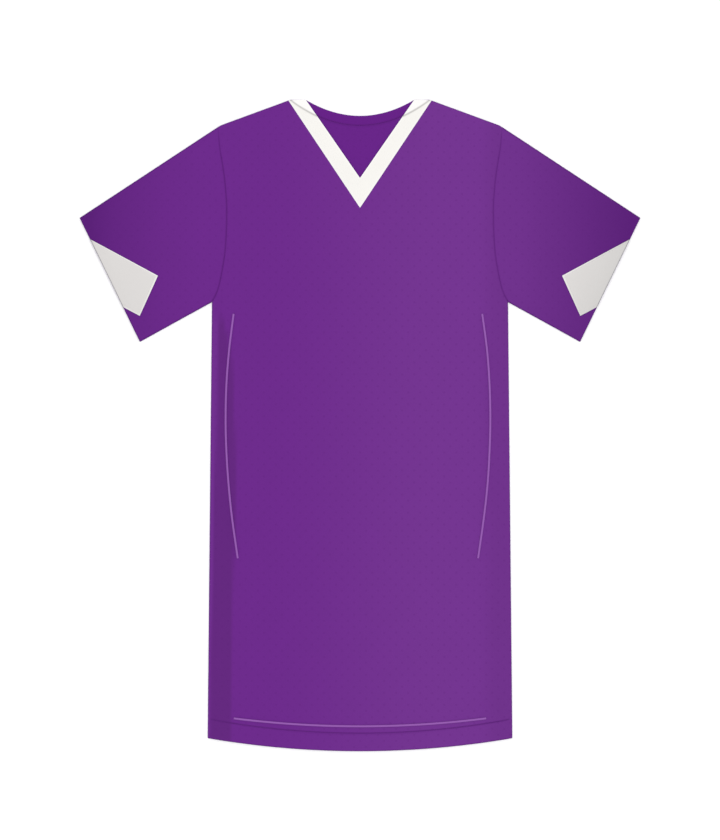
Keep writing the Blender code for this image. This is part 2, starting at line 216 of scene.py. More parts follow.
# Flashes and piping
FLASH_OVER = 0.00025  # how far a flash reaches beyond its solid on its sewn sides
FLASH_PUFF = 0.00025  # how much higher its middle stands
FLASH_PUFF_START = 0.003  # how far from its sewn edges it begins to rise
FLASH_PUFF_WIDTH = 0.012  # over which it rises there
FLASH_PUFF_CUFF = 0.010  # over which it rises from the cuff
FLASH_GROOVE = 0.0002  # how deep it is pressed at its sewn edges and along its sewing
FLASH_GROOVE_WIDTH = 0.0009  # half of it
FLASH_SEWING_IN = 0.0022  # how far its sewing runs from its edges
FLASH_SEWING_CORNER = 0.0031  # how far the sewing's corners lie from the flash's
CUFF_LINE_WIDTH = 0.0015  # of the dark line of painted shade on a flash along the cuff
LEFT_FLASH_SHADE = 0.35
RIGHT_FLASH_SHADE = 1.0
FLASH_SHADE_REACH = 0.065
FLASH_LIGHT = 0.6
FLASH_LIGHT_WIDTH = 0.0028
FLASH_LIGHT_CUFF = 0.004  # how far from the cuff the light has come up
TAPE_CROWN = 0.00025  # how much lower the piping's edges lie than its middle
TAPE_ROW = 0.003  # between two rows of its points
TAPE_COLUMNS = 5

# How the purple knit lies in light and shade
LIGHT_FROM = -0.13  # x from which the body grows lighter towards the right
LIGHT_TO = 0.11
RIGHT_SHADE_FROM = 0.150  # x from which the body's right side lies in shade
RIGHT_SHADE_TO = 0.180
RIGHT_SHADE = 0.20
EDGE_LIGHT = 0.45  # how light the body lies beyond the left side's fold
SLEEVE_SHADE = (  # distance from the middle line, shade of the left sleeve, of the right sleeve
    (0.1720, 0.00, 0.15),
    (0.1920, 0.00, 0.17),
    (0.2100, 0.02, 0.22),
    (0.2620, 0.20, 0.50),
    (0.2810, 0.32, 0.61),
    (0.3040, 0.46, 0.74),
    (0.3220, 0.60, 0.83),
    (0.3540, 1.00, 1.00),
)
SIDE_SHADE = (  # drop, the left fold's inner and outer distance from the middle line
    (0.2680, 0.1800, 0.1822),
    (0.2795, 0.1781, 0.1833),
    (0.3380, 0.1658, 0.1853),
    (0.4420, 0.1619, 0.1872),
    (0.5200, 0.1606, 0.1898),
    (0.6240, 0.1645, 0.1914),
    (0.7280, 0.1671, 0.1940),
    (0.8463, 0.1677, 0.1950),
)
SIDE_SHADE_DEPTH = 0.52
SIDE_SHADE_START = 0.03  # over which the fold's shade begins below the armhole
SHADE_BLUR = 0.0032

# Cloth surfaces
# Masks of painted light, painted shade, and painted shade along seams, creases and the outline
TONES = ("Light", "Shade", "Seam")
PURPLE_SHEEN = (0.55, 0.40, 0.75)
LILAC_SHEEN = (0.8, 0.7, 0.95)
WHITE_SHEEN = (1.0, 1.0, 1.0)
LOOP_WIDTH = 0.0012
EYELET_PITCH = 0.0078
EYELET_EDGE = 0.27  # how far from its middle an eyelet begins, against the pitch
EYELET_FULL = 0.08  # how far from its middle it is fully dark
EYELET_DEPTH = 1.2  # against the height of a loop
COLUMN_PITCHES = 2  # from one eyelet of a row to the next; the next row is moved by half of it
RIB_WIDTH = 0.0016
RIB_VALLEY_SHADE = 0.06
TWILL_SHADE = 0.8  # lightness of the tape's twill between its ridges
TWILL_SCALE = 420.0
PLY_SCALE = 900.0
PATCH_SCALE = 26.0
FIBRE_SCALE = 900.0

# Stitches
STITCH_SIDES = 6
STITCH_ARCH = 0.35  # how high a stitch arches, against the thread's width
STITCH_PROFILE = (  # place along the stitch, radius, for a length and a width of 1
    (-0.5, 0.12),
    (-0.44, 0.36),
    (-0.22, 0.5),
    (0.22, 0.5),
    (0.44, 0.36),
    (0.5, 0.12),
)

# How finely the pieces are divided
COARSE = 0.0042
FINE = 0.0004
FINE_REACH = 0.0065
HIDDEN_COARSE = 0.012  # of the back, which the front covers
HIDDEN_FINE = 0.0008
FOLD_FINE = 0.0012  # beside a sleeve's folded edges
BAND_FINE = 0.0005
BAND_END_REACH = 0.042  # how far from the front neckband's ends its crease reaches
GRADING_STEPS = 6000
UNDER_COLUMNS = 16
TURN_STEPS = 6
CURVE_STEPS = 8
NECK_CURVE_STEPS = 32
HEM_PIPING_POINTS = 64
HEM_SEWING_POINTS = 80
HEM_FADE = 4  # the higher, the sooner the rows above the hem lose its curve
DIRECTION_STEP = 0.004  # share of a line, ahead and behind, over which its direction is taken
JOINED = 1e-6  # points of two grids that are nearer are one point

# Stage
FLOOR_REACH = 8.0
KEY_PLACE = (0.8, 0.8, 4.4)
KEY_SIZE = 3.0
FILL_PLACE = (-0.6, -0.4, 3.8)
FILL_SIZE = 3.2

TOP = LENGTH / 2
LYING = WALL / 2
SIDES = {"left": -1, "right": 1}


# Lines and tables


def at(distance, drop):
    """The point at that distance from the middle line and that drop below the neck points."""
    return np.array([distance, TOP - drop])


def unit(vector):
    return vector / np.linalg.norm(vector)


def between(start, end, shares):
    """The points at these shares of the way from each start to its end."""
    start, end = np.asarray(start)[..., None, :], np.asarray(end)[..., None, :]
    return start + (end - start) * np.asarray(shares)[:, None]


def smooth_line(points):
    """A Catmull-Rom curve through the points."""
    line = []
    ends = [2 * points[0] - points[1], *points, 2 * points[-1] - points[-2]]
    for before, start, end, after in zip(ends, ends[1:], ends[2:], ends[3:]):
        for step in range(CURVE_STEPS):
            t = step / CURVE_STEPS
            bend = (2 * before - 5 * start + 4 * end - after) * t**2
            twist = (3 * start - before - 3 * end + after) * t**3
            line.append((2 * start + (end - before) * t + bend + twist) / 2)
    return np.array([*line, points[-1]])


def travelled(line):
    """How far along the line each of its points is."""
    return np.concatenate([[0], np.cumsum(np.linalg.norm(np.diff(line, axis=0), axis=1))])


def line_length(line):
    return travelled(line)[-1]


def along(line, shares):
    """The points at these shares of the line's length."""
    far = travelled(line)
    places = shares * far[-1]
    return np.stack([np.interp(places, far, line[:, axis]) for axis in (0, 1)], axis=-1)


def eased(share):
    """Rises smoothly from 0 to 1, flat at both ends."""
    share = np.clip(share, 0.0, 1.0)
    return share * share * (3 - 2 * share)


def faded(distance, reach):
    """1 where there is no distance, falling smoothly to 0 at the reach."""
    return 1 - eased(distance / reach)


def graded(length, marks, fine=FINE, coarse=COARSE):
    """Shares of a length from 0 to 1, spaced finely near the marks and coarsely away from them."""
    places = np.linspace(0, length, GRADING_STEPS + 1)
    away = np.abs(places[:, None] - np.array(marks)).min(axis=1)
    pace = 1 / (fine + (coarse - fine) * eased(away / FINE_REACH))
    passed = np.concatenate([[0], np.cumsum(np.diff(places) * (pace[1:] + pace[:-1]) / 2)])
    count = max(round(passed[-1]), 1)
    return np.interp(np.linspace(0, passed[-1], count + 1), passed, places) / length


def read_table(table, keys, column):
    rows = np.array(table)
    return np.interp(keys, rows[:, 0], rows[:, column])


def by_side(points, left, right):
    """The left value for points on the left of the middle line, else the right one."""
    return np.where(points[..., 0] < 0, left, right)


def near(points, start, end):
    """Distances to a straight line between two points, and the shares of it at the nearest places."""
    span = end - start
    share = np.clip(((points - start) @ span) / (span @ span), 0.0, 1.0)
    return np.linalg.norm(points - start - share[..., None] * span, axis=-1), share


def near_edges(points, edges):
    """Distances to the nearest of several straight edges."""
    return np.min([near(points, start, end)[0] for start, end in edges], axis=0)


def near_line(points, line):
    """Distances to a line through many points, and how far along it the nearest places are."""
    best = np.full(points.shape[:-1], np.inf)
    place = np.zeros(points.shape[:-1])
    far = travelled(line)
    for index, (start, end) in enumerate(zip(line, line[1:])):
        distance, share = near(points, start, end)
        closer = distance < best
        best = np.where(closer, distance, best)
        place = np.where(closer, far[index] + share * (far[index + 1] - far[index]), place)
    return best, place


def folded(points):
    """The points with those of the left half mirrored onto the right half."""
    return np.stack([np.abs(points[..., 0]), points[..., 1]], axis=-1)


# Plan of the right half of the shirt

NECK_POINT = at(NECK_WIDTH / 2, 0)
BAND_END = at(NECK_WIDTH / 2 - BAND_END_WIDTH, 0)
SHOULDER_TIP = at(SHOULDER_WIDTH / 2, SHOULDER_DROP)
CUFF_TOP = at(CUFF_TOP_WIDTH / 2, CUFF_TOP_DROP)
CUFF_LOW = at(CUFF_LOW_WIDTH / 2, CUFF_LOW_DROP)
UNDERARM = at(CHEST_WIDTH / 2, UNDERARM_DROP)
CHEST_MIDDLE = at(0, UNDERARM_DROP)
HEM_CORNER = at(HEM_WIDTH / 2, LENGTH - HEM_CURVE)
HEM_MIDDLE = at(0, LENGTH)
V_SEAM = at(0, V_DEPTH)
V_END = NECK_POINT + (SHOULDER_TIP - NECK_POINT) * V_END_SHARE
V_EDGE = at(0, V_DEPTH - V_BAND_WIDTH)
ARMHOLE_LINE = smooth_line([at(distance, drop) for drop, distance in reversed(ARMHOLE)])
FLASH_CORNERS = np.array([  # at the cuff low and high, then inside low and high
    *between(CUFF_TOP, CUFF_LOW, FLASH_ON_CUFF),
    *(at(distance, drop) for drop, distance in FLASH_ON_SLEEVE),
])
ROUND_FLASH = [1, 3, 2, 0]  # its corners along its sewn sides

CLOSED_EDGES = (  # start, end, width of the roll down to the edge
    (NECK_POINT, SHOULDER_TIP, 0.016),
    (SHOULDER_TIP, CUFF_TOP, 0.018),
    (CUFF_LOW, UNDERARM, 0.016),
)
OPEN_EDGES = (  # start, end, width of the roll down to the edge, air under the edge
    (CUFF_TOP, CUFF_LOW, 0.014, HEM_AIR),
    (V_END, V_SEAM, 0.020, BAND_AIR),
)
TURNED_EDGES = (  # edges of the body over which the front turns down
    (NECK_POINT, SHOULDER_TIP),
    (UNDERARM, HEM_CORNER),
)
OUTLINE = (*TURNED_EDGES, (SHOULDER_TIP, CUFF_TOP), (CUFF_TOP, CUFF_LOW), (CUFF_LOW, UNDERARM))


def hem_height(x):
    return HEM_MIDDLE[1] + HEM_CURVE * (x / HEM_CORNER[0]) ** 2


def hem_seam_height(x):
    """The y of the hem's sewing, which runs a little further from the hem towards the sides."""
    return hem_height(x) + HEM_SEAM_UP + HEM_SEAM_RISE * (x / HEM_CORNER[0]) ** 2


def above_hem(points):
    return points[..., 1] - hem_height(points[..., 0])


def above_hem_seam(points):
    return points[..., 1] - hem_seam_height(points[..., 0])


def near_cuff(points):
    return near(folded(points), CUFF_TOP, CUFF_LOW)[0]


def near_flash_seam(points):
    """Distances to the three sewn sides of the flash on that side."""
    path = FLASH_CORNERS[ROUND_FLASH]
    return near_edges(folded(points), zip(path, path[1:]))


def neck_curve(half_width, drop, gap=0.0):
    """The back neck from the middle line to its end, moved down by a gap."""
    t = np.linspace(0, 1, NECK_CURVE_STEPS + 1)
    return np.stack([(half_width + gap) * t, TOP - drop * (1 - t**2) - gap], axis=-1)


BACK_NECK_LINE = neck_curve(NECK_WIDTH / 2, BACK_SEAM_DROP)


def hem_piping_line():
    t = np.linspace(-1, 1, HEM_PIPING_POINTS)
    drop = HEM_PIPING_DROP - HEM_PIPING_RISE * t**2
    return np.stack([HEM_PIPING_WIDTH / 2 * t, TOP - drop], axis=-1)


def side_piping_line(side):
    line = smooth_line([at(left if side < 0 else right, drop) for drop, left, right in SIDE_PIPING])
    return line * [side, 1]


# Height of the cloth


def fold_height(points):
    strength = bpy.context.scene.shirt_cloth.fold_strength
    height = np.zeros(points.shape[:-1])
    for x0, y0, x1, y1, half_width, crest in FOLDS:
        distance, share = near(points, np.array([x0, y0]), np.array([x1, y1]))
        ends = np.sin(math.pi * (FOLD_END + (1 - 2 * FOLD_END) * share))
        height += strength * crest * ends * faded(distance, 2 * half_width)
    return height


def air_at(points):
    """How far the front layer stands above the back layer."""
    half = folded(points)
    drop = TOP - points[..., 1]
    roll = by_side(points, read_table(SIDE_ROLL, drop, 1), read_table(SIDE_ROLL, drop, 2))
    closed = [(near(half, start, end)[0], width) for start, end, width in CLOSED_EDGES]
    closed.append((near(half, UNDERARM, HEM_CORNER)[0], roll))
    opened = [(near(half, start, end)[0], width, air) for start, end, width, air in OPEN_EDGES]
    opened.append((np.maximum(above_hem(points), 0.0), HEM_TURN_UP, HEM_AIR))
    away_from_seams = np.prod([eased(MOUTH_RISE * distance / width) for distance, width in closed], axis=0)
    inside = np.prod([eased(distance / width) for distance, width in closed], axis=0)
    mouth = 0.0
    for distance, width, air in opened:
        mouth = mouth + (air - SEAM_GAP) * faded(distance, width)
        inside = inside * eased(distance / width)
    loft = LOFT + fold_height(points) - SEAM_GAP
    return np.minimum(SEAM_GAP + mouth * away_from_seams + loft * inside, MOST_AIR)


def puckers(points):
    """Small uneven ripples that run away from the armhole seams and fade."""
    height = bpy.context.scene.shirt_cloth.pucker_height
    chance = np.random.default_rng(PUCKER_SEED)
    seam_length = line_length(ARMHOLE_LINE)
    result = np.zeros(points.shape[:-1])
    for side in SIDES.values():
        distance, place = near_line(points * [side, 1], ARMHOLE_LINE)
        steps = chance.uniform(*PUCKER_STEPS, PUCKER_COUNT) * PUCKER_SPACING
        marks = np.cumsum(steps) - steps[0]
        crests = chance.uniform(*PUCKER_CRESTS, PUCKER_COUNT) * height
        rise = eased(distance / PUCKER_START) * faded(distance, PUCKER_REACH)
        ends = eased(place / PUCKER_LOW_END) * eased((seam_length - place) / PUCKER_HIGH_END)
        result += np.interp(place, marks, crests) * rise * ends
    return result


def hem_ripple(points):
    """Slight waves along the turned-up hem."""
    height = bpy.context.scene.shirt_cloth.pucker_height
    x = points[..., 0]
    above = above_hem(points)
    drift, drift_pace = HEM_WAVE_DRIFT
    small, small_pace, small_start = HEM_SMALL_WAVE
    wave = np.sin(x * HEM_WAVE + drift * np.sin(x * drift_pace))
    wave = wave + small * np.sin(x * small_pace + small_start)
    return HEM_RIPPLE * height * wave * eased(above / HEM_RIPPLE_START) * faded(above, HEM_RIPPLE_REACH)


def turn_down(distance):
    """How much lower cloth lies that turns over an edge, at a distance from the edge."""
    left = np.clip(TURN - distance, 0.0, TURN)
    return TURN - np.sqrt(TURN**2 - left**2)


def seam_dip(distance):
    """How much lower cloth lies at a distance from a seam."""
    left = np.clip(1 - (distance - SEWN_GAP) / SEAM_DIP_WIDTH, 0.0, 1.0)
    return SEAM_DIP * (1 - np.sqrt(1 - SEAM_DIP_CURVE * left**2))


def groove(distance, half_width, depth):
    return depth * faded(np.abs(distance), half_width)


def back_height(points):
    """Height of the middle of the back panel's wall, which lies on the surface."""
    return np.full(points.shape[:-1], LYING)


def layer_height(points):
    """Height of the middle of the front layer's wall, of the body and of the sleeves."""
    return WALL + air_at(points) + LYING + puckers(points)


def front_height(points):
    half = folded(points)
    height = layer_height(points) + hem_ripple(points)
    height -= groove(above_hem_seam(points), HEM_GROOVE_WIDTH, HEM_GROOVE)
    height -= turn_down(near_edges(half, TURNED_EDGES) - LYING)
    height -= seam_dip(np.minimum(near_line(half, ARMHOLE_LINE)[0], near(half, V_SEAM, V_END)[0]))
    return height - groove(above_hem(points), OPEN_END_WIDTH, OPEN_END_DIP)


def front_top(points):
    """Height of the top of the front's cloth."""
    return front_height(points) + WALL / 2


def sleeve_height(points):
    height = layer_height(points) - seam_dip(near_line(folded(points), ARMHOLE_LINE)[0])
    return height - groove(near_cuff(points), OPEN_END_WIDTH, OPEN_END_DIP)


def band_edges(points):
    """Distances to the outer and to the inner edge of the front neckband."""
    half = folded(points)
    return near(half, V_SEAM, V_END)[0], near(half, V_EDGE, BAND_END)[0]


def beyond_crease(points):
    """How far a point of the front neckband lies beyond the crease towards the back."""
    half = folded(points)
    crease = TOP - BACK_SEAM_DROP * (1 - (half[..., 0] / NECK_POINT[0]) ** CREASE_POWER)
    slope = CREASE_POWER * BACK_SEAM_DROP / NECK_POINT[0]
    return (half[..., 1] - crease) / math.hypot(1, slope)


def band_height(points):
    """Height of the middle of the front neckband, with its rounded edges and its mitre."""
    outer, inner = band_edges(points)
    crown = BAND_CROWN * eased(np.minimum(inner, outer) / (BAND_END_WIDTH / 2))
    height = WALL + BAND_AIR + RIB_WALL / 2 + crown
    height -= groove(outer, SEAM_DIP_WIDTH, BAND_DIP)
    height -= groove(points[..., 0], CREASE_WIDTH, MITRE_DEPTH)
    return height - groove(beyond_crease(points), CREASE_WIDTH, CREASE_DEPTH)


def back_band_height(points):
    seam = near_line(folded(points), BACK_NECK_LINE)[0]
    return BACK_RIB_WALL / 2 - groove(seam, SEAM_DIP_WIDTH, BACK_BAND_DIP)


def flash_height(points):
    """Height of the middle of a flash, which is pressed down where it is sewn."""
    sewn = near_flash_seam(points)
    top = sleeve_height(points) + WALL / 2 + SEAM_GAP + FLASH_WALL / 2
    rise = eased((sewn - FLASH_PUFF_START) / FLASH_PUFF_WIDTH)
    height = top + FLASH_PUFF * rise * eased(near_cuff(points) / FLASH_PUFF_CUFF)
    for distance in (sewn, sewn - FLASH_SEWING_IN):
        height = height - groove(distance, FLASH_GROOVE_WIDTH, FLASH_GROOVE)
    return height


def flash_top(points):
    return flash_height(points) + FLASH_WALL / 2


def tape_height(line, points):
    """Height of the middle of the piping, rounded across."""
    away = near_line(points, line)[0] / (PIPING_WIDTH / 2)
    return front_top(points) + SEAM_GAP + PIPING_WALL / 2 - TAPE_CROWN * away**2


# How light the cloth lies


def knit_light(points):
    """Painted light, from 0 at the left to 1 at the right."""
    return eased((points[..., 0] - LIGHT_FROM) / (LIGHT_TO - LIGHT_FROM))


def side_strips(points):
    """1 where the body lies in the shade of its left side's fold, and 1 beyond it."""
    x = points[..., 0]
    drop = TOP - points[..., 1]
    left = eased((-x - read_table(SIDE_SHADE, drop, 1)) / SHADE_BLUR + 0.5)
    left = left * eased((drop - SIDE_SHADE[0][0]) / SIDE_SHADE_START)
    within = eased((x + read_table(SIDE_SHADE, drop, 2)) / SHADE_BLUR + 0.5)
    return left * within, left * (1 - within)


def body_light(points):
    return knit_light(points) + EDGE_LIGHT * side_strips(points)[1]


def body_shade(points):
    right = eased((points[..., 0] - RIGHT_SHADE_FROM) / (RIGHT_SHADE_TO - RIGHT_SHADE_FROM))
    return RIGHT_SHADE * right + SIDE_SHADE_DEPTH * side_strips(points)[0]


def sleeve_gradient(points):
    """The shade on the sleeves, which grows towards the cuffs."""
    distance = np.abs(points[..., 0])
    return by_side(points, read_table(SLEEVE_SHADE, distance, 1), read_table(SLEEVE_SHADE, distance, 2))


def no_shade(points):
    return np.zeros(points.shape[:-1])


def outline_shade(points):
    """Painted shade where the cloth turns away at the shirt's outline."""
    distance = np.minimum(near_edges(folded(points), OUTLINE), np.abs(above_hem(points)))
    return OUTLINE_SHADE * faded(distance, OUTLINE_SHADE_WIDTH)


def sleeve_line_shade(points):
    """Painted shade along the armhole seam, which fades towards the shoulder, and the outline's."""
    distance, place = near_line(folded(points), ARMHOLE_LINE)
    left = line_length(ARMHOLE_LINE) - place
    depth = by_side(points, LEFT_SEAM_SHADE, RIGHT_SEAM_SHADE)
    end = eased((left - SEAM_SHADE_END) / SEAM_SHADE_FADE) * (1 + eased(left / SEAM_SHADE_FAINT)) / 2
    return np.maximum(depth * end * faded(distance, SEAM_SHADE_WIDTH), outline_shade(points))


def front_line_shade(points):
    """Painted shade along the hem's sewing, the armholes and the outline."""
    ends = eased((HEM_CORNER[0] - np.abs(points[..., 0])) / HEM_SHADE_END)
    hem = LEFT_SEAM_SHADE * ends * faded(np.abs(above_hem_seam(points)), SEAM_SHADE_WIDTH)
    return np.maximum(hem, sleeve_line_shade(points))


# Painted shade along the back neck seam
def neck_line_shade(points):
    return NECK_SEAM_SHADE * faded(near_line(folded(points), BACK_NECK_LINE)[0], NECK_SHADE_WIDTH)


def band_light(points):
    """1 along the edges of the front neckband and at its ends, which catch the light, else 0."""
    edge = faded(np.min(band_edges(points), axis=0), BAND_LIGHT_WIDTH)
    return np.maximum(edge, eased(beyond_crease(points) / BAND_END_LIGHT))


# Painted shade in the front neckband's mitre and along its crease
def band_shade(points):
    mitre = groove(points[..., 0], CREASE_WIDTH, MITRE_SHADE)
    return np.maximum(mitre, faded(np.abs(beyond_crease(points)), CREASE_SHADE_WIDTH))


def flash_gradient(points):
    """The shade on the flashes, which grows towards the cuff and is deeper on the right."""
    deepest = by_side(points, LEFT_FLASH_SHADE, RIGHT_FLASH_SHADE)
    return deepest * (1 - near_cuff(points) / FLASH_SHADE_REACH).clip(0.0, 1.0)


# Painted shade in a dark line on a flash along the cuff
def flash_line(points):
    return faded(near_cuff(points), CUFF_LINE_WIDTH)


def flash_light(points):
    """The light along the flashes' sewn edges, which ends at the cuff."""
    edge = FLASH_LIGHT * faded(near_flash_seam(points), FLASH_LIGHT_WIDTH)
    return edge * eased(near_cuff(points) / FLASH_LIGHT_CUFF)


def along_arm(points):
    """Distance along an arm of the front neckband."""
    return (folded(points) - V_SEAM) @ unit(V_END - V_SEAM)


def along_neck(points):
    """Distance along the back neckband, which runs nearly straight across."""
    return points[:, 0]


# Shader graphs


def set_inputs(tree, node, inputs):
    """Put values or other nodes' sockets on a node's inputs."""
    for name, value in inputs.items():
        if isinstance(value, bpy.types.NodeSocket):
            tree.links.new(value, node.inputs[name])
        else:
            node.inputs[name].default_value = value


def add_node(tree, kind, inputs, **settings):
    node = tree.nodes.new(kind)
    for name, value in settings.items():
        setattr(node, name, value)
    set_inputs(tree, node, inputs)
    return node


def work_out(tree, operation, *values):
    return add_node(tree, "ShaderNodeMath", dict(enumerate(values)), operation=operation).outputs[0]


def smooth_step(tree, value, start, end):
    """0 where the value is at start and 1 where it is at end."""
    inputs = {"Value": value, "From Min": start, "From Max": end}
    return add_node(tree, "ShaderNodeMapRange", inputs, interpolation_type="SMOOTHSTEP").outputs["Result"]


def blend_colours(tree, factor, first, second):
    inputs = {0: factor, 6: first, 7: second}
    return add_node(tree, "ShaderNodeMix", inputs, data_type="RGBA").outputs[2]


def noise(tree, place, scale, detail):
    inputs = {"Vector": place, "Scale": scale, "Detail": detail}
    return add_node(tree, "ShaderNodeTexNoise", inputs).outputs[0]


def slanting_ridges(tree, place, scale):
    inputs = {"Vector": place, "Scale": scale}
    return add_node(tree, "ShaderNodeTexWave", inputs, bands_direction="DIAGONAL").outputs["Fac"]


def attribute(tree, name):
    return add_node(tree, "ShaderNodeAttribute", {}, attribute_name=name).outputs["Fac"]


def new_group(name, inputs, outputs):
    """An empty shader node group, with its input and output nodes. Each input has its value or its kind."""
    group = bpy.data.node_groups.new(name, "ShaderNodeTree")
    for label, value in inputs.items():
        kind = value if isinstance(value, str) else "Float"
        socket = group.interface.new_socket(label, in_out="INPUT", socket_type=f"NodeSocket{kind}")
        if kind == "Float":
            socket.default_value = value
    for label, kind in outputs.items():
        group.interface.new_socket(label, in_out="OUTPUT", socket_type=f"NodeSocket{kind}")
    return group, group.nodes.new("NodeGroupInput").outputs, group.nodes.new("NodeGroupOutput")


def use_group(tree, build, inputs):
    """The outputs of a shared shader node group, which is built when it is first used."""
    name = build.__name__
    if name not in bpy.data.node_groups:
        build(name)
    return add_node(tree, "ShaderNodeGroup", inputs, node_tree=bpy.data.node_groups[name]).outputs


def mesh_knit(name):
    """Knit loops, with small eyelets in staggered rows."""
    inputs = {"Vector": "Vector", "Loop Width": LOOP_WIDTH, "Eyelet Pitch": EYELET_PITCH}
    group, given, result = new_group(name, inputs, {"Loops": "Float", "Eyelets": "Float"})
    step = partial(work_out, group)
    place = add_node(group, "ShaderNodeSeparateXYZ", {0: given["Vector"]}).outputs
    column = step("DIVIDE", place["X"], given["Loop Width"])
    course = step("DIVIDE", place["Y"], given["Loop Width"])
    wale = step("ABSOLUTE", step("SINE", step("MULTIPLY", column, math.pi)))
    slant = step("ABSOLUTE", step("SUBTRACT", step("FRACT", column), 0.5))
    legs = step("MULTIPLY", step("ADD", course, slant), math.pi)
    loops = step("MULTIPLY", wale, step("ABSOLUTE", step("SINE", legs)))
    row = step("DIVIDE", place["Y"], given["Eyelet Pitch"])
    stagger = step("MULTIPLY", step("FLOOR", row), 0.5)
    pitches = step("DIVIDE", place["X"], given["Eyelet Pitch"])
    line = step("MULTIPLY_ADD", pitches, 1 / COLUMN_PITCHES, stagger)
    across = step("SUBTRACT", step("FRACT", line), 0.5)
    down = step("SUBTRACT", step("FRACT", row), 0.5)
    across_square = step("MULTIPLY", step("MULTIPLY", across, across), COLUMN_PITCHES**2)
    distance = step("SQRT", step("MULTIPLY_ADD", down, down, across_square))
    eyelets = smooth_step(group, distance, EYELET_EDGE, EYELET_FULL)
    set_inputs(group, result, {"Loops": loops, "Eyelets": eyelets})


def dye_mottle(name):
    """Slight unevenness of a dyed cloth, in its colour and its roughness."""
    inputs = {"Vector": "Vector", "Color": "Color", "Amount": 0.05, "Roughness": 0.7}
    group, given, result = new_group(name, inputs, {"Color": "Color", "Roughness": "Float"})
    step = partial(work_out, group)
    patches = noise(group, given["Vector"], PATCH_SCALE, detail=3.0)
    fibres = noise(group, given["Vector"], FIBRE_SCALE, detail=2.0)
    change = step("MULTIPLY", step("SUBTRACT", step("ADD", patches, fibres), 1.0), given["Amount"])
    inputs = {0: given["Color"], "Scale": step("ADD", change, 1.0)}
    colour = add_node(group, "ShaderNodeVectorMath", inputs, operation="SCALE").outputs[0]
    set_inputs(group, result, {"Color": colour, "Roughness": step("ADD", given["Roughness"], change)})


def rib_knit(name):
    """Fine ribs across a band, from the distance along it."""
    group, given, result = new_group(name, {"Along": 0.0, "Rib Width": RIB_WIDTH}, {"Ribs": "Float"})
    step = partial(work_out, group)
    turns = step("DIVIDE", given["Along"], given["Rib Width"])
    wave = step("SINE", step("MULTIPLY", turns, 2 * math.pi))
    set_inputs(group, result, {"Ribs": step("MULTIPLY_ADD", wave, 0.5, 0.5)})


def cloth_tones(name):
    """A cloth's colour with painted light, painted shade and painted seam shade, from masks for each."""
    inputs = {"Color": "Color"}
    for tone in TONES:
        inputs |= {tone: 0.0, f"{tone} Color": "Color"}
    group, given, result = new_group(name, inputs, {"Color": "Color"})
    colour = given["Color"]
    for tone in TONES:
        colour = blend_colours(group, given[tone], colour, given[f"{tone} Color"])
    set_inputs(group, result, {"Color": colour})


def toned_colour(tree, colour, light, shade, seam):
    """The cloth's colour under the painted light, shade and seam shade that the piece's points hold."""
    inputs = {"Color": (*colour, 1.0)}
    for tone, tone_colour in zip(TONES, (light, shade, seam)):
        inputs[tone] = attribute(tree, tone.lower())
        inputs[f"{tone} Color"] = (*tone_colour, 1.0)
    return use_group(tree, cloth_tones, inputs)["Color"]


def new_material(name, colour, looks):
    """A material with a Principled shader of these looks."""
    material = bpy.data.materials.new(name)
    material.use_nodes = True
    material.diffuse_color = (*colour, 1.0)
    set_inputs(material.node_tree, material.node_tree.nodes["Principled BSDF"], looks)
    return material


def cloth_material(name, colour, sheen, sheen_tint):
    """A material of cloth, its tree, and the place on the shirt in it."""
    looks = {
        "Metallic": 0.0,
        "Specular IOR Level": 0.12,
        "Sheen Weight": sheen,
        "Sheen Roughness": 0.45,
        "Sheen Tint": (*sheen_tint, 1.0),
    }
    material = new_material(name, colour, looks)
    tree = material.node_tree
    return material, tree, add_node(tree, "ShaderNodeTexCoord", {}).outputs["Object"]


def finish_surface(tree, place, colour, height, mottle, roughness, depth, strength):
    """Give the cloth this colour, mottled a little, and a bump of this height."""
    inputs = {"Vector": place, "Color": colour, "Amount": mottle, "Roughness": roughness}
    coloured = use_group(tree, dye_mottle, inputs)
    bump = add_node(tree, "ShaderNodeBump", {"Height": height, "Distance": depth, "Strength": strength})
    looks = {"Base Color": coloured["Color"], "Roughness": coloured["Roughness"], "Normal": bump.outputs[0]}
    set_inputs(tree, tree.nodes["Principled BSDF"], looks)


def knit_of_shirt(tree, place):
    """The mesh knit at the shirt's own loop width and eyelet pitch."""
    knit = bpy.context.scene.shirt_cloth
    inputs = {"Vector": place, "Loop Width": knit.loop_width, "Eyelet Pitch": knit.eyelet_pitch}
    return use_group(tree, mesh_knit, inputs)


def purple_knit(name, colour, shade_colour):
    """Fine mesh knit with the piece's painted light and shade, and painted shade at seams and eyelets."""
    colours = bpy.context.scene.shirt_colours
    eyelet_shade = bpy.context.scene.shirt_cloth.eyelet_shade
    material, tree, place = cloth_material(name, colour, sheen=0.10, sheen_tint=PURPLE_SHEEN)
    knit = knit_of_shirt(tree, place)
    toned = toned_colour(tree, colour, colours.light_purple, shade_colour, colours.seam_purple)
    # The eyelets are darkened towards the seam colour: painted shade in the holes
    shaded = work_out(tree, "MULTIPLY", knit["Eyelets"], eyelet_shade)
    holed = blend_colours(tree, shaded, toned, (*colours.seam_purple, 1.0))
    sunken = work_out(tree, "MULTIPLY", knit["Eyelets"], EYELET_DEPTH)
    height = work_out(tree, "SUBTRACT", knit["Loops"], sunken)
    finish_surface(tree, place, holed, height, mottle=0.05, roughness=0.74, depth=0.00022, strength=0.35)
    return material


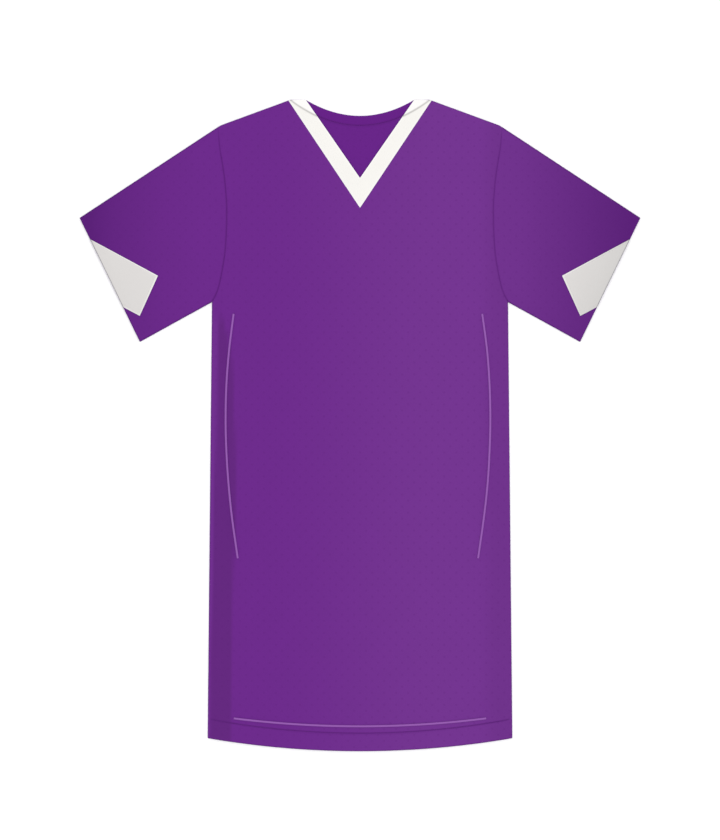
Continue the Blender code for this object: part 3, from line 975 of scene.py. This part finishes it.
def rib_material(name, colour, light, seam, sheen_tint):
    """Rib knit across the band, with painted light, and painted shade at seams, creases and rib valleys."""
    material, tree, place = cloth_material(name, colour, sheen=0.08, sheen_tint=sheen_tint)
    inputs = {"Along": attribute(tree, "along"), "Rib Width": bpy.context.scene.shirt_cloth.rib_width}
    ribs = use_group(tree, rib_knit, inputs)["Ribs"]
    toned = toned_colour(tree, colour, light, colour, seam)
    valleys = work_out(tree, "MULTIPLY", work_out(tree, "SUBTRACT", 1.0, ribs), RIB_VALLEY_SHADE)
    ribbed = blend_colours(tree, valleys, toned, (*seam, 1.0))
    finish_surface(tree, place, ribbed, ribs, mottle=0.025, roughness=0.8, depth=0.0002, strength=0.4)
    return material


def flash_material(colours):
    """Smooth white knit, with painted light along its sewn edges and painted shade towards the cuff."""
    white = colours.flash_white
    material, tree, place = cloth_material("flash_knit", white, sheen=0.08, sheen_tint=WHITE_SHEEN)
    loops = knit_of_shirt(tree, place)["Loops"]
    toned = toned_colour(tree, white, colours.rib_light, colours.flash_dim, colours.flash_edge)
    finish_surface(tree, place, toned, loops, mottle=0.03, roughness=0.72, depth=0.00018, strength=0.3)
    return material


def tape_material(colour):
    """Narrow woven tape with a fine slanting twill."""
    material, tree, place = cloth_material("piping_tape", colour, sheen=0.12, sheen_tint=LILAC_SHEEN)
    twill = slanting_ridges(tree, place, TWILL_SCALE)
    dark = [TWILL_SHADE * part for part in colour]
    woven = blend_colours(tree, twill, (*dark, 1.0), (*colour, 1.0))
    finish_surface(tree, place, woven, twill, mottle=0.04, roughness=0.55, depth=0.0001, strength=0.4)
    return material


def thread_material(name, colour):
    """Twisted sewing thread."""
    material, tree, place = cloth_material(name, colour, sheen=0.1, sheen_tint=WHITE_SHEEN)
    plies = slanting_ridges(tree, place, PLY_SCALE)
    coloured = (*colour, 1.0)
    finish_surface(tree, place, coloured, plies, mottle=0.08, roughness=0.6, depth=0.00005, strength=0.4)
    return material


# Making the pieces


def shown_collection():
    name = "football_shirt"
    if name not in bpy.data.collections:
        bpy.context.scene.collection.children.link(bpy.data.collections.new(name))
    return bpy.data.collections[name]


def new_piece(name, points, faces, material):
    """A smooth mesh of these points and faces, among the shirt's pieces."""
    mesh = bpy.data.meshes.new(name)
    mesh.from_pydata(points.tolist(), [], faces)
    mesh.shade_smooth()
    mesh.materials.append(material)
    piece = bpy.data.objects.new(name, mesh)
    shown_collection().objects.link(piece)
    return piece


def grid_faces(rows, columns, first, ring):
    """Corners of the faces of a grid of points, each row closed on itself for a ring."""
    across = columns if ring else columns - 1
    row, column = np.meshgrid(np.arange(rows - 1), np.arange(across), indexing="ij")
    beside = (column + 1) % columns
    low = first + row * columns
    corners = [low + column, low + beside, low + columns + beside, low + columns + column]
    return np.stack(corners, axis=-1).reshape(-1, 4)


def cloth_piece(name, grids, wall, rounding, material, rings=False):
    """A wall of cloth over grids of points that join where they meet, with rounded rims."""
    points = np.concatenate([grid.reshape(-1, 3) for grid in grids])
    faces = []
    first = 0
    for grid in grids:
        faces += grid_faces(*grid.shape[:2], first, rings).tolist()
        first += grid.shape[0] * grid.shape[1]
    piece = new_piece(name, points, faces, material)
    build = bmesh.new()
    build.from_mesh(piece.data)
    bmesh.ops.remove_doubles(build, verts=build.verts, dist=JOINED)
    build.to_mesh(piece.data)
    build.free()
    solid = piece.modifiers.new("Wall", "SOLIDIFY")
    solid.thickness = wall
    solid.offset = 0.0
    bevel = piece.modifiers.new("Rounded rims", "BEVEL")
    bevel.width = rounding
    bevel.segments = 2
    bevel.limit_method = "ANGLE"
    bevel.angle_limit = math.radians(ROUNDED_FROM)
    return piece


def points_of(piece):
    """Where the piece's points are."""
    points = np.zeros(len(piece.data.vertices) * 3, np.float32)
    piece.data.vertices.foreach_get("co", points)
    return points.reshape(-1, 3)


def shade_piece(piece, **looks):
    """Give the piece's points a value for each look, from a function of their places in the plan."""
    plan = points_of(piece)[:, :2].astype(float)
    for name, look in looks.items():
        layer = piece.data.attributes.new(name, "FLOAT", "POINT")
        layer.data.foreach_set("value", look(plan).astype(np.float32))


def settled(plan):
    """The plan as the shirt lies: the shoulders bow out, and the cuffs and the hem lie a little in."""
    distance, share = near(folded(plan), NECK_POINT, SHOULDER_TIP)
    rise = np.minimum(share / SHOULDER_TURN, (1 - share) / (1 - SHOULDER_TURN))
    bow = SHOULDER_BOW * rise * faded(distance, SHOULDER_BOW_REACH)
    cuff = CUFF_TRIM * faded(near_cuff(plan), TRIM_REACH)
    hem = HEM_TRIM * faded(above_hem(plan), TRIM_REACH)
    shoulder = unit(SHOULDER_TIP - NECK_POINT)
    shift = bow[..., None] * [-shoulder[1], shoulder[0]]
    shift = shift + cuff[..., None] * unit(SHOULDER_TIP - CUFF_TOP) + hem[..., None] * [0, 1]
    mirrored = np.stack([np.sign(plan[..., 0]), np.ones(plan.shape[:-1])], axis=-1)
    return plan + shift * mirrored


def place_piece(piece, node=None):
    """Settle the piece, attach it to the root, and hide the part that it replaces, if there is one."""
    points = points_of(piece)
    points[:, :2] = settled(points[:, :2].astype(float))
    piece.data.vertices.foreach_set("co", points.ravel())
    piece.data.update()
    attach(piece, "root")
    if node:
        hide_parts(node)


def lifted(plan, height):
    return np.concatenate([plan, height(plan)[..., None]], axis=-1)


def both_halves(plan, height):
    """Grids of the right half and its mirror image, each at its own height, with faces up."""
    return [lifted(half, height) for half in (plan, plan[:, ::-1] * [-1, 1])]


def drawn_in(plan):
    """The front's plan with its rims drawn in by half a wall, where the wall turns over an edge."""
    for start, end in TURNED_EDGES:
        span = unit(end - start)
        inwards = np.array([span[1], -span[0]])
        if inwards @ (CHEST_MIDDLE - start) < 0:
            inwards = -inwards
        distance = near(plan, start, end)[0]
        plan = plan + inwards * (LYING * faded(distance, DRAW_IN_REACH))[..., None]
    return plan


def panel_plan(neck_line, fine=FINE, coarse=COARSE):
    """Plan of the right half of a body panel: rows from the hem up to the shoulder."""
    body = graded(np.linalg.norm(UNDERARM - HEM_CORNER), [0, HEM_TURN_UP], fine, coarse)[:-1]
    half = line_length(ARMHOLE_LINE) / 2
    low = graded(half, [half], fine, coarse)[:-1]
    high = graded(half, [0, half], fine, coarse)
    armhole = along(ARMHOLE_LINE, np.concatenate([low / 2, 0.5 + high / 2]))
    outer = np.concatenate([between(HEM_CORNER, UNDERARM, body), armhole - [SEWN_GAP, 0]])
    inner = np.concatenate([
        between(HEM_MIDDLE, CHEST_MIDDLE, body),
        between(CHEST_MIDDLE, neck_line[0], low),
        along(neck_line, high),
    ])
    width = CHEST_WIDTH / 2
    plan = between(inner, outer, graded(width, [0, width], fine, coarse))
    chord = HEM_MIDDLE[1] + HEM_CURVE * plan[: len(body), :, 0] / HEM_CORNER[0]
    bend = hem_height(plan[: len(body), :, 0]) - chord
    plan[: len(body), :, 1] += bend * ((1 - body) ** HEM_FADE)[:, None]
    return plan


def turned_points(edge, inwards):
    """The turn of the cloth from the back layer over to the front layer, at an edge of a sleeve."""
    turn = math.pi * (np.linspace(0, 1, TURN_STEPS + 1) - 0.5)
    centre = edge + inwards * (LYING + TURN)
    place = centre - inwards * TURN * np.cos(turn)[:, None]
    return np.column_stack([place, LYING + TURN + TURN * np.sin(turn)])


def sleeve_plan(side, away, across):
    """Plan of one layer of a sleeve: rows from the armhole to the cuff, columns up from its under seam."""
    rows = between(along(ARMHOLE_LINE, across), between(CUFF_LOW, CUFF_TOP, across), away)
    return rows.swapaxes(0, 1) * [side, 1]


def sleeve_rings(side):
    """Rings round a flattened sleeve, from its under seam over the front and back underneath."""
    length = np.linalg.norm(CUFF_TOP - SHOULDER_TIP)
    seam_length = line_length(ARMHOLE_LINE)
    away = graded(length, [0, length])
    plan = sleeve_plan(side, away, graded(seam_length, [0, seam_length], FOLD_FINE))
    over = lifted(plan[:, 1:-1], sleeve_height)
    below = np.linspace(1, 0, UNDER_COLUMNS + 2)[1:-1]
    under = lifted(sleeve_plan(side, away, below), back_height)
    rings = []
    for row, top, bottom in zip(plan, over, under):
        low_turn = turned_points(row[0], unit(row[1] - row[0]))
        high_turn = turned_points(row[-1], unit(row[-2] - row[-1]))
        rings.append(np.concatenate([low_turn, top, high_turn[::-1], bottom]))
    rings = np.array(rings)
    return rings[::-1] if side > 0 else rings


def ring_length(ring):
    return line_length(np.concatenate([ring, ring[:1]]))


def band_plan(inner, outer, width, end_reach=0.0):
    """Plan of the right half of a band: rows along it, columns from its inner to its outer edge."""
    length = line_length(outer)
    end_rows = np.linspace(length - end_reach, length, round(end_reach / BAND_FINE) + 1) / length
    shares = np.unique(np.concatenate([graded(length, [0, length], BAND_FINE), end_rows]))
    columns = np.linspace(0, 1, round(width / BAND_FINE) + 1)
    return between(along(inner, shares), along(outer, shares), columns)


def across_line(line, shares):
    """Points of the line, and its direction there."""
    ahead = along(line, np.minimum(shares + DIRECTION_STEP, 1.0))
    behind = along(line, np.maximum(shares - DIRECTION_STEP, 0.0))
    direction = ahead - behind
    return along(line, shares), direction / np.linalg.norm(direction, axis=1)[:, None]


def tape_plan(line):
    count = round(line_length(line) / TAPE_ROW)
    points, direction = across_line(line, np.linspace(0, 1, count + 1))
    side = np.stack([-direction[:, 1], direction[:, 0]], axis=-1)
    columns = PIPING_WIDTH * (np.linspace(0, 1, TAPE_COLUMNS) - 0.5)
    return points[:, None] + side[:, None] * columns[None, :, None]


def flash_plan(side):
    """Plan of a flash, which reaches a little beyond its solid on its sewn sides."""
    cuff_low, cuff_top, inner_low, inner_top = FLASH_CORNERS * [side, 1]
    size = np.linalg.norm(cuff_top - cuff_low)
    over = FLASH_OVER / size
    columns = graded(size, [0, size]) * (1 + over)
    rows = columns - over / 2
    plan = between(between(cuff_low, cuff_top, rows), between(inner_low, inner_top, rows), columns)
    return plan[::-1] if side > 0 else plan


def flash_sewing(side):
    """The three lines along which a flash is sewn, a little inside its edges."""
    corners = FLASH_CORNERS * [side, 1]
    middle = corners.mean(axis=0)
    inset = np.array([corner + unit(middle - corner) * FLASH_SEWING_CORNER for corner in corners])
    path = inset[ROUND_FLASH]
    return [np.array(pair) for pair in zip(path, path[1:])]


def stitch_template():
    """One stitch along X, of unit length and width: a rounded rod."""
    turn = np.arange(STITCH_SIDES) * 2 * math.pi / STITCH_SIDES
    rings = [[(x, r * math.cos(t), r * math.sin(t)) for t in turn] for x, r in STITCH_PROFILE]
    points = np.array(rings).reshape(-1, 3)
    sides = grid_faces(len(rings), STITCH_SIDES, 0, True)[:, ::-1].tolist()
    ends = [list(range(STITCH_SIDES)), list(range(len(points) - 1, len(points) - STITCH_SIDES - 1, -1))]
    return points, [*sides, *ends]


def stitches(name, lines, top, material):
    """Rows of stitches laid along lines on a surface, as one mesh."""
    sewing = bpy.context.scene.shirt_sewing
    thread = sewing.thread_width
    points, faces = stitch_template()
    arch = STITCH_ARCH * thread * (1 - 4 * points[:, 0] ** 2)
    all_points = []
    all_faces = []
    for line in lines:
        count = max(int(line_length(line) / (sewing.stitch_length + sewing.stitch_gap)), 1)
        middles, directions = across_line(line, (np.arange(count) + 0.5) / count)
        half = directions * sewing.stitch_length / 2
        ends = (top(middles - half), top(middles + half))
        for middle, direction, low, high in zip(middles, directions, *ends):
            side = np.array([-direction[1], direction[0]])
            plan = middle + direction * points[:, :1] * sewing.stitch_length
            plan = plan + side * points[:, 1:2] * thread
            rise = low + (high - low) * (points[:, 0] + 0.5) + arch + points[:, 2] * thread
            first = len(all_points) * len(points)
            all_points.append(np.column_stack([plan, rise]))
            all_faces += [[first + corner for corner in face] for face in faces]
    return new_piece(name, np.concatenate(all_points), all_faces, material)


# Sizes and colours that can be changed


def number_property(name, description, default, **limits):
    return FloatProperty(name=name, description=description, default=default, **limits)


def length_property(name, description, default):
    return number_property(name, description, default, unit="LENGTH")


def colour_property(name, description, default):
    looks = {"subtype": "COLOR", "min": 0.0, "max": 1.0}
    return FloatVectorProperty(name=name, description=description, default=default, **looks)


class ShirtCloth(bpy.types.PropertyGroup):
    """Relief and knit of the cloth"""

    fold_strength: number_property("Fold Strength", "How high the soft folds stand", 1.0, min=0.0, max=1.5)
    pucker_height: length_property("Pucker Height", "Height of the ripples at seams", 0.00022)
    loop_width: length_property("Loop Width", "Width of one knit loop", LOOP_WIDTH)
    eyelet_pitch: length_property("Eyelet Pitch", "Distance between the eyelets of the mesh", EYELET_PITCH)
    eyelet_shade: number_property("Eyelet Shade", "How dark the eyelets show", 0.20, min=0.0, max=1.0)
    rib_width: length_property("Rib Width", "Width of one rib of the neckbands", RIB_WIDTH)


class ShirtSewing(bpy.types.PropertyGroup):
    """Thread and stitches"""

    stitch_length: length_property("Stitch Length", "Length of a stitch that shows", 0.0024)
    stitch_gap: length_property("Stitch Gap", "Gap between two stitches", 0.0008)
    thread_width: length_property("Thread Width", "Width of the sewing thread", 0.0004)


class ShirtColours(bpy.types.PropertyGroup):
    """Colours of the cloth, thread and trim, and of their painted light and shade"""

    # Painted shade of the sleeves, growing towards the cuffs
    deep_purple: colour_property("Deep Purple", "Sleeves in shade", (0.0845, 0.0067, 0.1575))
    # Painted shade in the left side's fold and along the body's right side
    side_purple: colour_property("Side Purple", "Sides of the body in shade", (0.0885, 0.0119, 0.144))
    purple: colour_property("Purple", "Knit", (0.129, 0.0153, 0.2265))
    # Painted light of the knit, growing towards the right
    light_purple: colour_property("Light Purple", "Knit in full light", (0.147, 0.0253, 0.243))
    # The knit's inner face in its own colour, darkened by painted shade where it shows inside the neck
    inside_purple: colour_property("Inside Purple", "Inner face of the knit", (0.117, 0.0103, 0.213))
    # Painted shade of the knit along its seams and in its eyelets
    seam_purple: colour_property("Seam Purple", "Knit in a seam or an eyelet", (0.0875, 0.0070, 0.157))
    rib_white: colour_property("Rib White", "Front neckband", (0.828, 0.811, 0.778))
    # Painted highlight along the front neckband's edges and ends, and along the flashes' sewn edges
    rib_light: colour_property("Rib Light", "Front neckband along its edges", (0.880, 0.868, 0.852))
    # Painted shade in the creases of the front neckband
    rib_crease: colour_property("Rib Crease", "Creases of the front neckband", (0.490, 0.477, 0.463))
    rib_purple: colour_property("Rib Purple", "Back neckband", (0.113, 0.0090, 0.206))
    flash_white: colour_property("Flash White", "Sleeve flashes", (0.650, 0.628, 0.617))
    # Painted shade of the flashes towards the cuff, deeper on the right
    flash_dim: colour_property("Flash Dim", "Sleeve flashes in shade", (0.568, 0.554, 0.543))
    # Painted shade on the flashes' turned edge at the cuff
    flash_edge: colour_property("Flash Edge", "Sleeve flashes at the cuff", (0.200, 0.195, 0.210))
    piping_lilac: colour_property("Piping Lilac", "Side and hem piping", (0.289, 0.0976, 0.415))
    purple_thread: colour_property("Purple Thread", "Sewing on purple cloth", (0.100, 0.010, 0.180))
    white_thread: colour_property("White Thread", "Sewing on white cloth", (0.640, 0.615, 0.605))


class ShirtStage(bpy.types.PropertyGroup):
    """Floor, light and camera"""

    floor_colour: colour_property("Floor", "Colour of the floor", (0.99, 0.99, 0.99))
    camera_height: length_property("Camera Height", "Height of the camera above the shirt", 3.0)
    view_height: length_property("View Height", "How much of the floor the picture is high", 1.092)
    view_centre: length_property("View Centre", "Where the picture's middle lies up the shirt", 0.00715)
    key_power: number_property("Key Light", "Soft light from the upper right", 50.0, unit="POWER")
    fill_power: number_property("Fill Light", "Soft light from above", 17.0, unit="POWER")
    room_light: number_property("Room Light", "Light from all round", 0.86)


# Stage


def make_floor(stage):
    mesh = bpy.data.meshes.new("floor")
    half = FLOOR_REACH
    corners = [(-half, -half, 0), (half, -half, 0), (half, half, 0), (-half, half, 0)]
    mesh.from_pydata(corners, [], [(0, 1, 2, 3)])
    looks = {"Base Color": (*stage.floor_colour, 1.0), "Roughness": 0.9, "Specular IOR Level": 0.0}
    mesh.materials.append(new_material("floor_paint", stage.floor_colour, looks))
    floor = bpy.data.objects.new("floor", mesh)
    bpy.context.scene.collection.objects.link(floor)


def soft_light(name, place, size, power):
    data = bpy.data.lights.new(name, "AREA")
    data.shape = "SQUARE"
    data.size = size
    data.energy = power
    light = bpy.data.objects.new(name, data)
    light.location = place
    direction = -light.location
    light.rotation_euler = direction.to_track_quat("-Z", "Y").to_euler()
    bpy.context.scene.collection.objects.link(light)


def make_lights(stage):
    soft_light("key_light", KEY_PLACE, KEY_SIZE, stage.key_power)
    soft_light("fill_light", FILL_PLACE, FILL_SIZE, stage.fill_power)
    world = bpy.data.worlds.new("room")
    world.use_nodes = True
    looks = {"Strength": stage.room_light, "Color": (1.0, 1.0, 1.0, 1.0)}
    set_inputs(world.node_tree, world.node_tree.nodes["Background"], looks)
    bpy.context.scene.world = world


def make_camera(stage):
    data = bpy.data.cameras.new("camera")
    data.sensor_width = 36.0
    data.lens = data.sensor_width * stage.camera_height / stage.view_height
    camera = bpy.data.objects.new("camera", data)
    camera.location = (0.0, stage.view_centre, stage.camera_height)
    bpy.context.scene.collection.objects.link(camera)
    bpy.context.scene.camera = camera


# Operators, one for each kind of piece


class SHIRT_OT_stage(bpy.types.Operator):
    """Lay the pale floor and set the light and the camera"""

    bl_idname = "shirt.stage"
    bl_label = "Stage"

    def execute(self, context):
        for make in (make_floor, make_lights, make_camera):
            make(context.scene.shirt_stage)
        context.scene.view_settings.view_transform = "Standard"
        context.scene.view_settings.look = "None"
        return {"FINISHED"}


class SHIRT_OT_back(bpy.types.Operator):
    """Make the back panel, which lies on the surface with its inner face up"""

    bl_idname = "shirt.back"
    bl_label = "Back"

    def execute(self, context):
        neck_line = neck_curve(NECK_WIDTH / 2, BACK_SEAM_DROP, SEWN_GAP / 2)
        plan = panel_plan(neck_line, HIDDEN_FINE, HIDDEN_COARSE)
        purple = context.scene.shirt_colours.inside_purple
        material = purple_knit("inside_knit", purple, purple)
        piece = cloth_piece("back_panel", both_halves(plan, back_height), WALL, RIM_ROUNDING, material)
        shade_piece(piece, light=no_shade, shade=no_shade, seam=neck_line_shade)
        place_piece(piece, "back")
        return {"FINISHED"}


class SHIRT_OT_front(bpy.types.Operator):
    """Make the front panel, with its folds, seams and hem"""

    bl_idname = "shirt.front"
    bl_label = "Front"

    def execute(self, context):
        right, up = unit(V_END - V_SEAM)
        neck_line = np.array([at(0, V_DEPTH + SEWN_GAP / right), V_END + SEWN_GAP * np.array([up, -right])])
        plan = drawn_in(panel_plan(neck_line))
        colours = context.scene.shirt_colours
        material = purple_knit("front_knit", colours.purple, colours.side_purple)
        piece = cloth_piece("front_panel", both_halves(plan, front_height), WALL, RIM_ROUNDING, material)
        shade_piece(piece, light=body_light, shade=body_shade, seam=front_line_shade)
        place_piece(piece, "front")
        return {"FINISHED"}


class SHIRT_OT_sleeves(bpy.types.Operator):
    """Make both sleeves, each one piece of cloth folded along its top"""

    bl_idname = "shirt.sleeves"
    bl_label = "Sleeves"

    def execute(self, context):
        colours = context.scene.shirt_colours
        material = purple_knit("sleeve_knit", colours.purple, colours.deep_purple)
        for label, side in SIDES.items():
            rings = sleeve_rings(side)
            piece = cloth_piece(f"sleeve_cloth_{label}", [rings], WALL, RIM_ROUNDING, material, rings=True)
            shade_piece(piece, light=knit_light, shade=sleeve_gradient, seam=sleeve_line_shade)
            place_piece(piece, f"sleeve_{label}")
            round_it = max(ring_length(rings[0]), ring_length(rings[-1]))
        return {"FINISHED"}


class SHIRT_OT_neckband(bpy.types.Operator):
    """Make the white front neckband with its mitre, and the purple back neckband"""

    bl_idname = "shirt.neckband"
    bl_label = "Neckband"

    def execute(self, context):
        colours = context.scene.shirt_colours
        white, light, crease = colours.rib_white, colours.rib_light, colours.rib_crease
        material = rib_material("white_rib", white, light, crease, WHITE_SHEEN)
        arm = (np.array([V_EDGE, BAND_END]), np.array([V_SEAM, V_END]))
        grids = both_halves(band_plan(*arm, BAND_END_WIDTH, BAND_END_REACH), band_height)
        piece = cloth_piece("neckband_front_rib", grids, RIB_WALL, BAND_ROUNDING, material)
        shade_piece(piece, light=band_light, seam=band_shade, along=along_arm)
        place_piece(piece, "neckband_front")
        length = 2 * np.linalg.norm(V_END - V_SEAM)

        purple, seam = colours.rib_purple, colours.seam_purple
        material = rib_material("purple_rib", purple, purple, seam, PURPLE_SHEEN)
        outer = neck_curve(NECK_WIDTH / 2, BACK_SEAM_DROP, -SEWN_GAP / 2)
        inner = neck_curve(BAND_END[0], BACK_SEAM_DROP - BACK_BAND_WIDTH)
        grids = both_halves(band_plan(outer, inner, BACK_BAND_WIDTH)[:, ::-1], back_band_height)
        piece = cloth_piece("neckband_back_rib", grids, BACK_RIB_WALL, BAND_ROUNDING, material)
        shade_piece(piece, light=no_shade, seam=neck_line_shade, along=along_neck)
        place_piece(piece, "neckband_back")
        length = 2 * line_length(outer)
        return {"FINISHED"}


class SHIRT_OT_flashes(bpy.types.Operator):
    """Make the white flash on each sleeve, sewn down along three sides"""

    bl_idname = "shirt.flashes"
    bl_label = "Sleeve Flashes"

    def execute(self, context):
        colours = context.scene.shirt_colours
        material = flash_material(colours)
        thread = thread_material("white_thread", colours.white_thread)
        for label, side in SIDES.items():
            grid = lifted(flash_plan(side), flash_height)
            piece = cloth_piece(f"flash_{label}", [grid], FLASH_WALL, TRIM_ROUNDING, material)
            shade_piece(piece, light=flash_light, shade=flash_gradient, seam=flash_line)
            place_piece(piece, f"sleeve_panel_{label}")
            sewing = stitches(f"flash_stitches_{label}", flash_sewing(side), flash_top, thread)
            place_piece(sewing)
        return {"FINISHED"}


class SHIRT_OT_trim(bpy.types.Operator):
    bl_idname = "shirt.trim"
    bl_label = "Piping and Sewing"

    def execute(self, context):
        colours = context.scene.shirt_colours
        tape = tape_material(colours.piping_lilac)
        lines = {f"piping_{label}": side_piping_line(side) for label, side in SIDES.items()}
        lines["piping_hem"] = hem_piping_line()
        for node, line in lines.items():
            grid = lifted(tape_plan(line), partial(tape_height, line))
            piece = cloth_piece(f"{node}_tape", [grid], PIPING_WALL, TRIM_ROUNDING, tape)
            place_piece(piece, node)
        thread = thread_material("purple_thread", colours.purple_thread)
        x = np.linspace(-1, 1, HEM_SEWING_POINTS) * (HEM_CORNER[0] - SEWING_END)
        hem_line = np.stack([x, hem_seam_height(x)], axis=-1)
        sewing = stitches("hem_stitches", [hem_line], front_top, thread)
        place_piece(sewing)
        return {"FINISHED"}


class SHIRT_PT_panel(bpy.types.Panel):
    """The shirt's pieces, sizes and colours"""

    bl_label = "Football Shirt"
    bl_idname = "SHIRT_PT_panel"
    bl_space_type = "VIEW_3D"
    bl_region_type = "UI"
    bl_category = "Shirt"

    def draw(self, context):
        for operator in OPERATORS:
            self.layout.operator(operator.bl_idname)
        for name in PROPERTY_GROUPS:
            box = self.layout.box()
            settings = getattr(context.scene, name)
            for key in settings.bl_rna.properties.keys():
                if key not in {"rna_type", "name"}:
                    box.prop(settings, key)


PROPERTY_GROUPS = {
    "shirt_cloth": ShirtCloth,
    "shirt_sewing": ShirtSewing,
    "shirt_colours": ShirtColours,
    "shirt_stage": ShirtStage,
}
OPERATORS = (
    SHIRT_OT_stage,
    SHIRT_OT_back,
    SHIRT_OT_front,
    SHIRT_OT_sleeves,
    SHIRT_OT_neckband,
    SHIRT_OT_flashes,
    SHIRT_OT_trim,
)
CLASSES = (*PROPERTY_GROUPS.values(), *OPERATORS, SHIRT_PT_panel)


def register():
    for each in CLASSES:
        bpy.utils.register_class(each)
    for name, group in PROPERTY_GROUPS.items():
        setattr(bpy.types.Scene, name, PointerProperty(type=group))


def unregister():
    for name in PROPERTY_GROUPS:
        delattr(bpy.types.Scene, name)
    for each in reversed(CLASSES):
        bpy.utils.unregister_class(each)


def main():
    register()
    bpy.ops.shirt.stage()
    bpy.ops.shirt.back()
    bpy.ops.shirt.front()
    bpy.ops.shirt.sleeves()
    bpy.ops.shirt.neckband()
    bpy.ops.shirt.flashes()
    bpy.ops.shirt.trim()


if __name__ == "__main__":
    main()
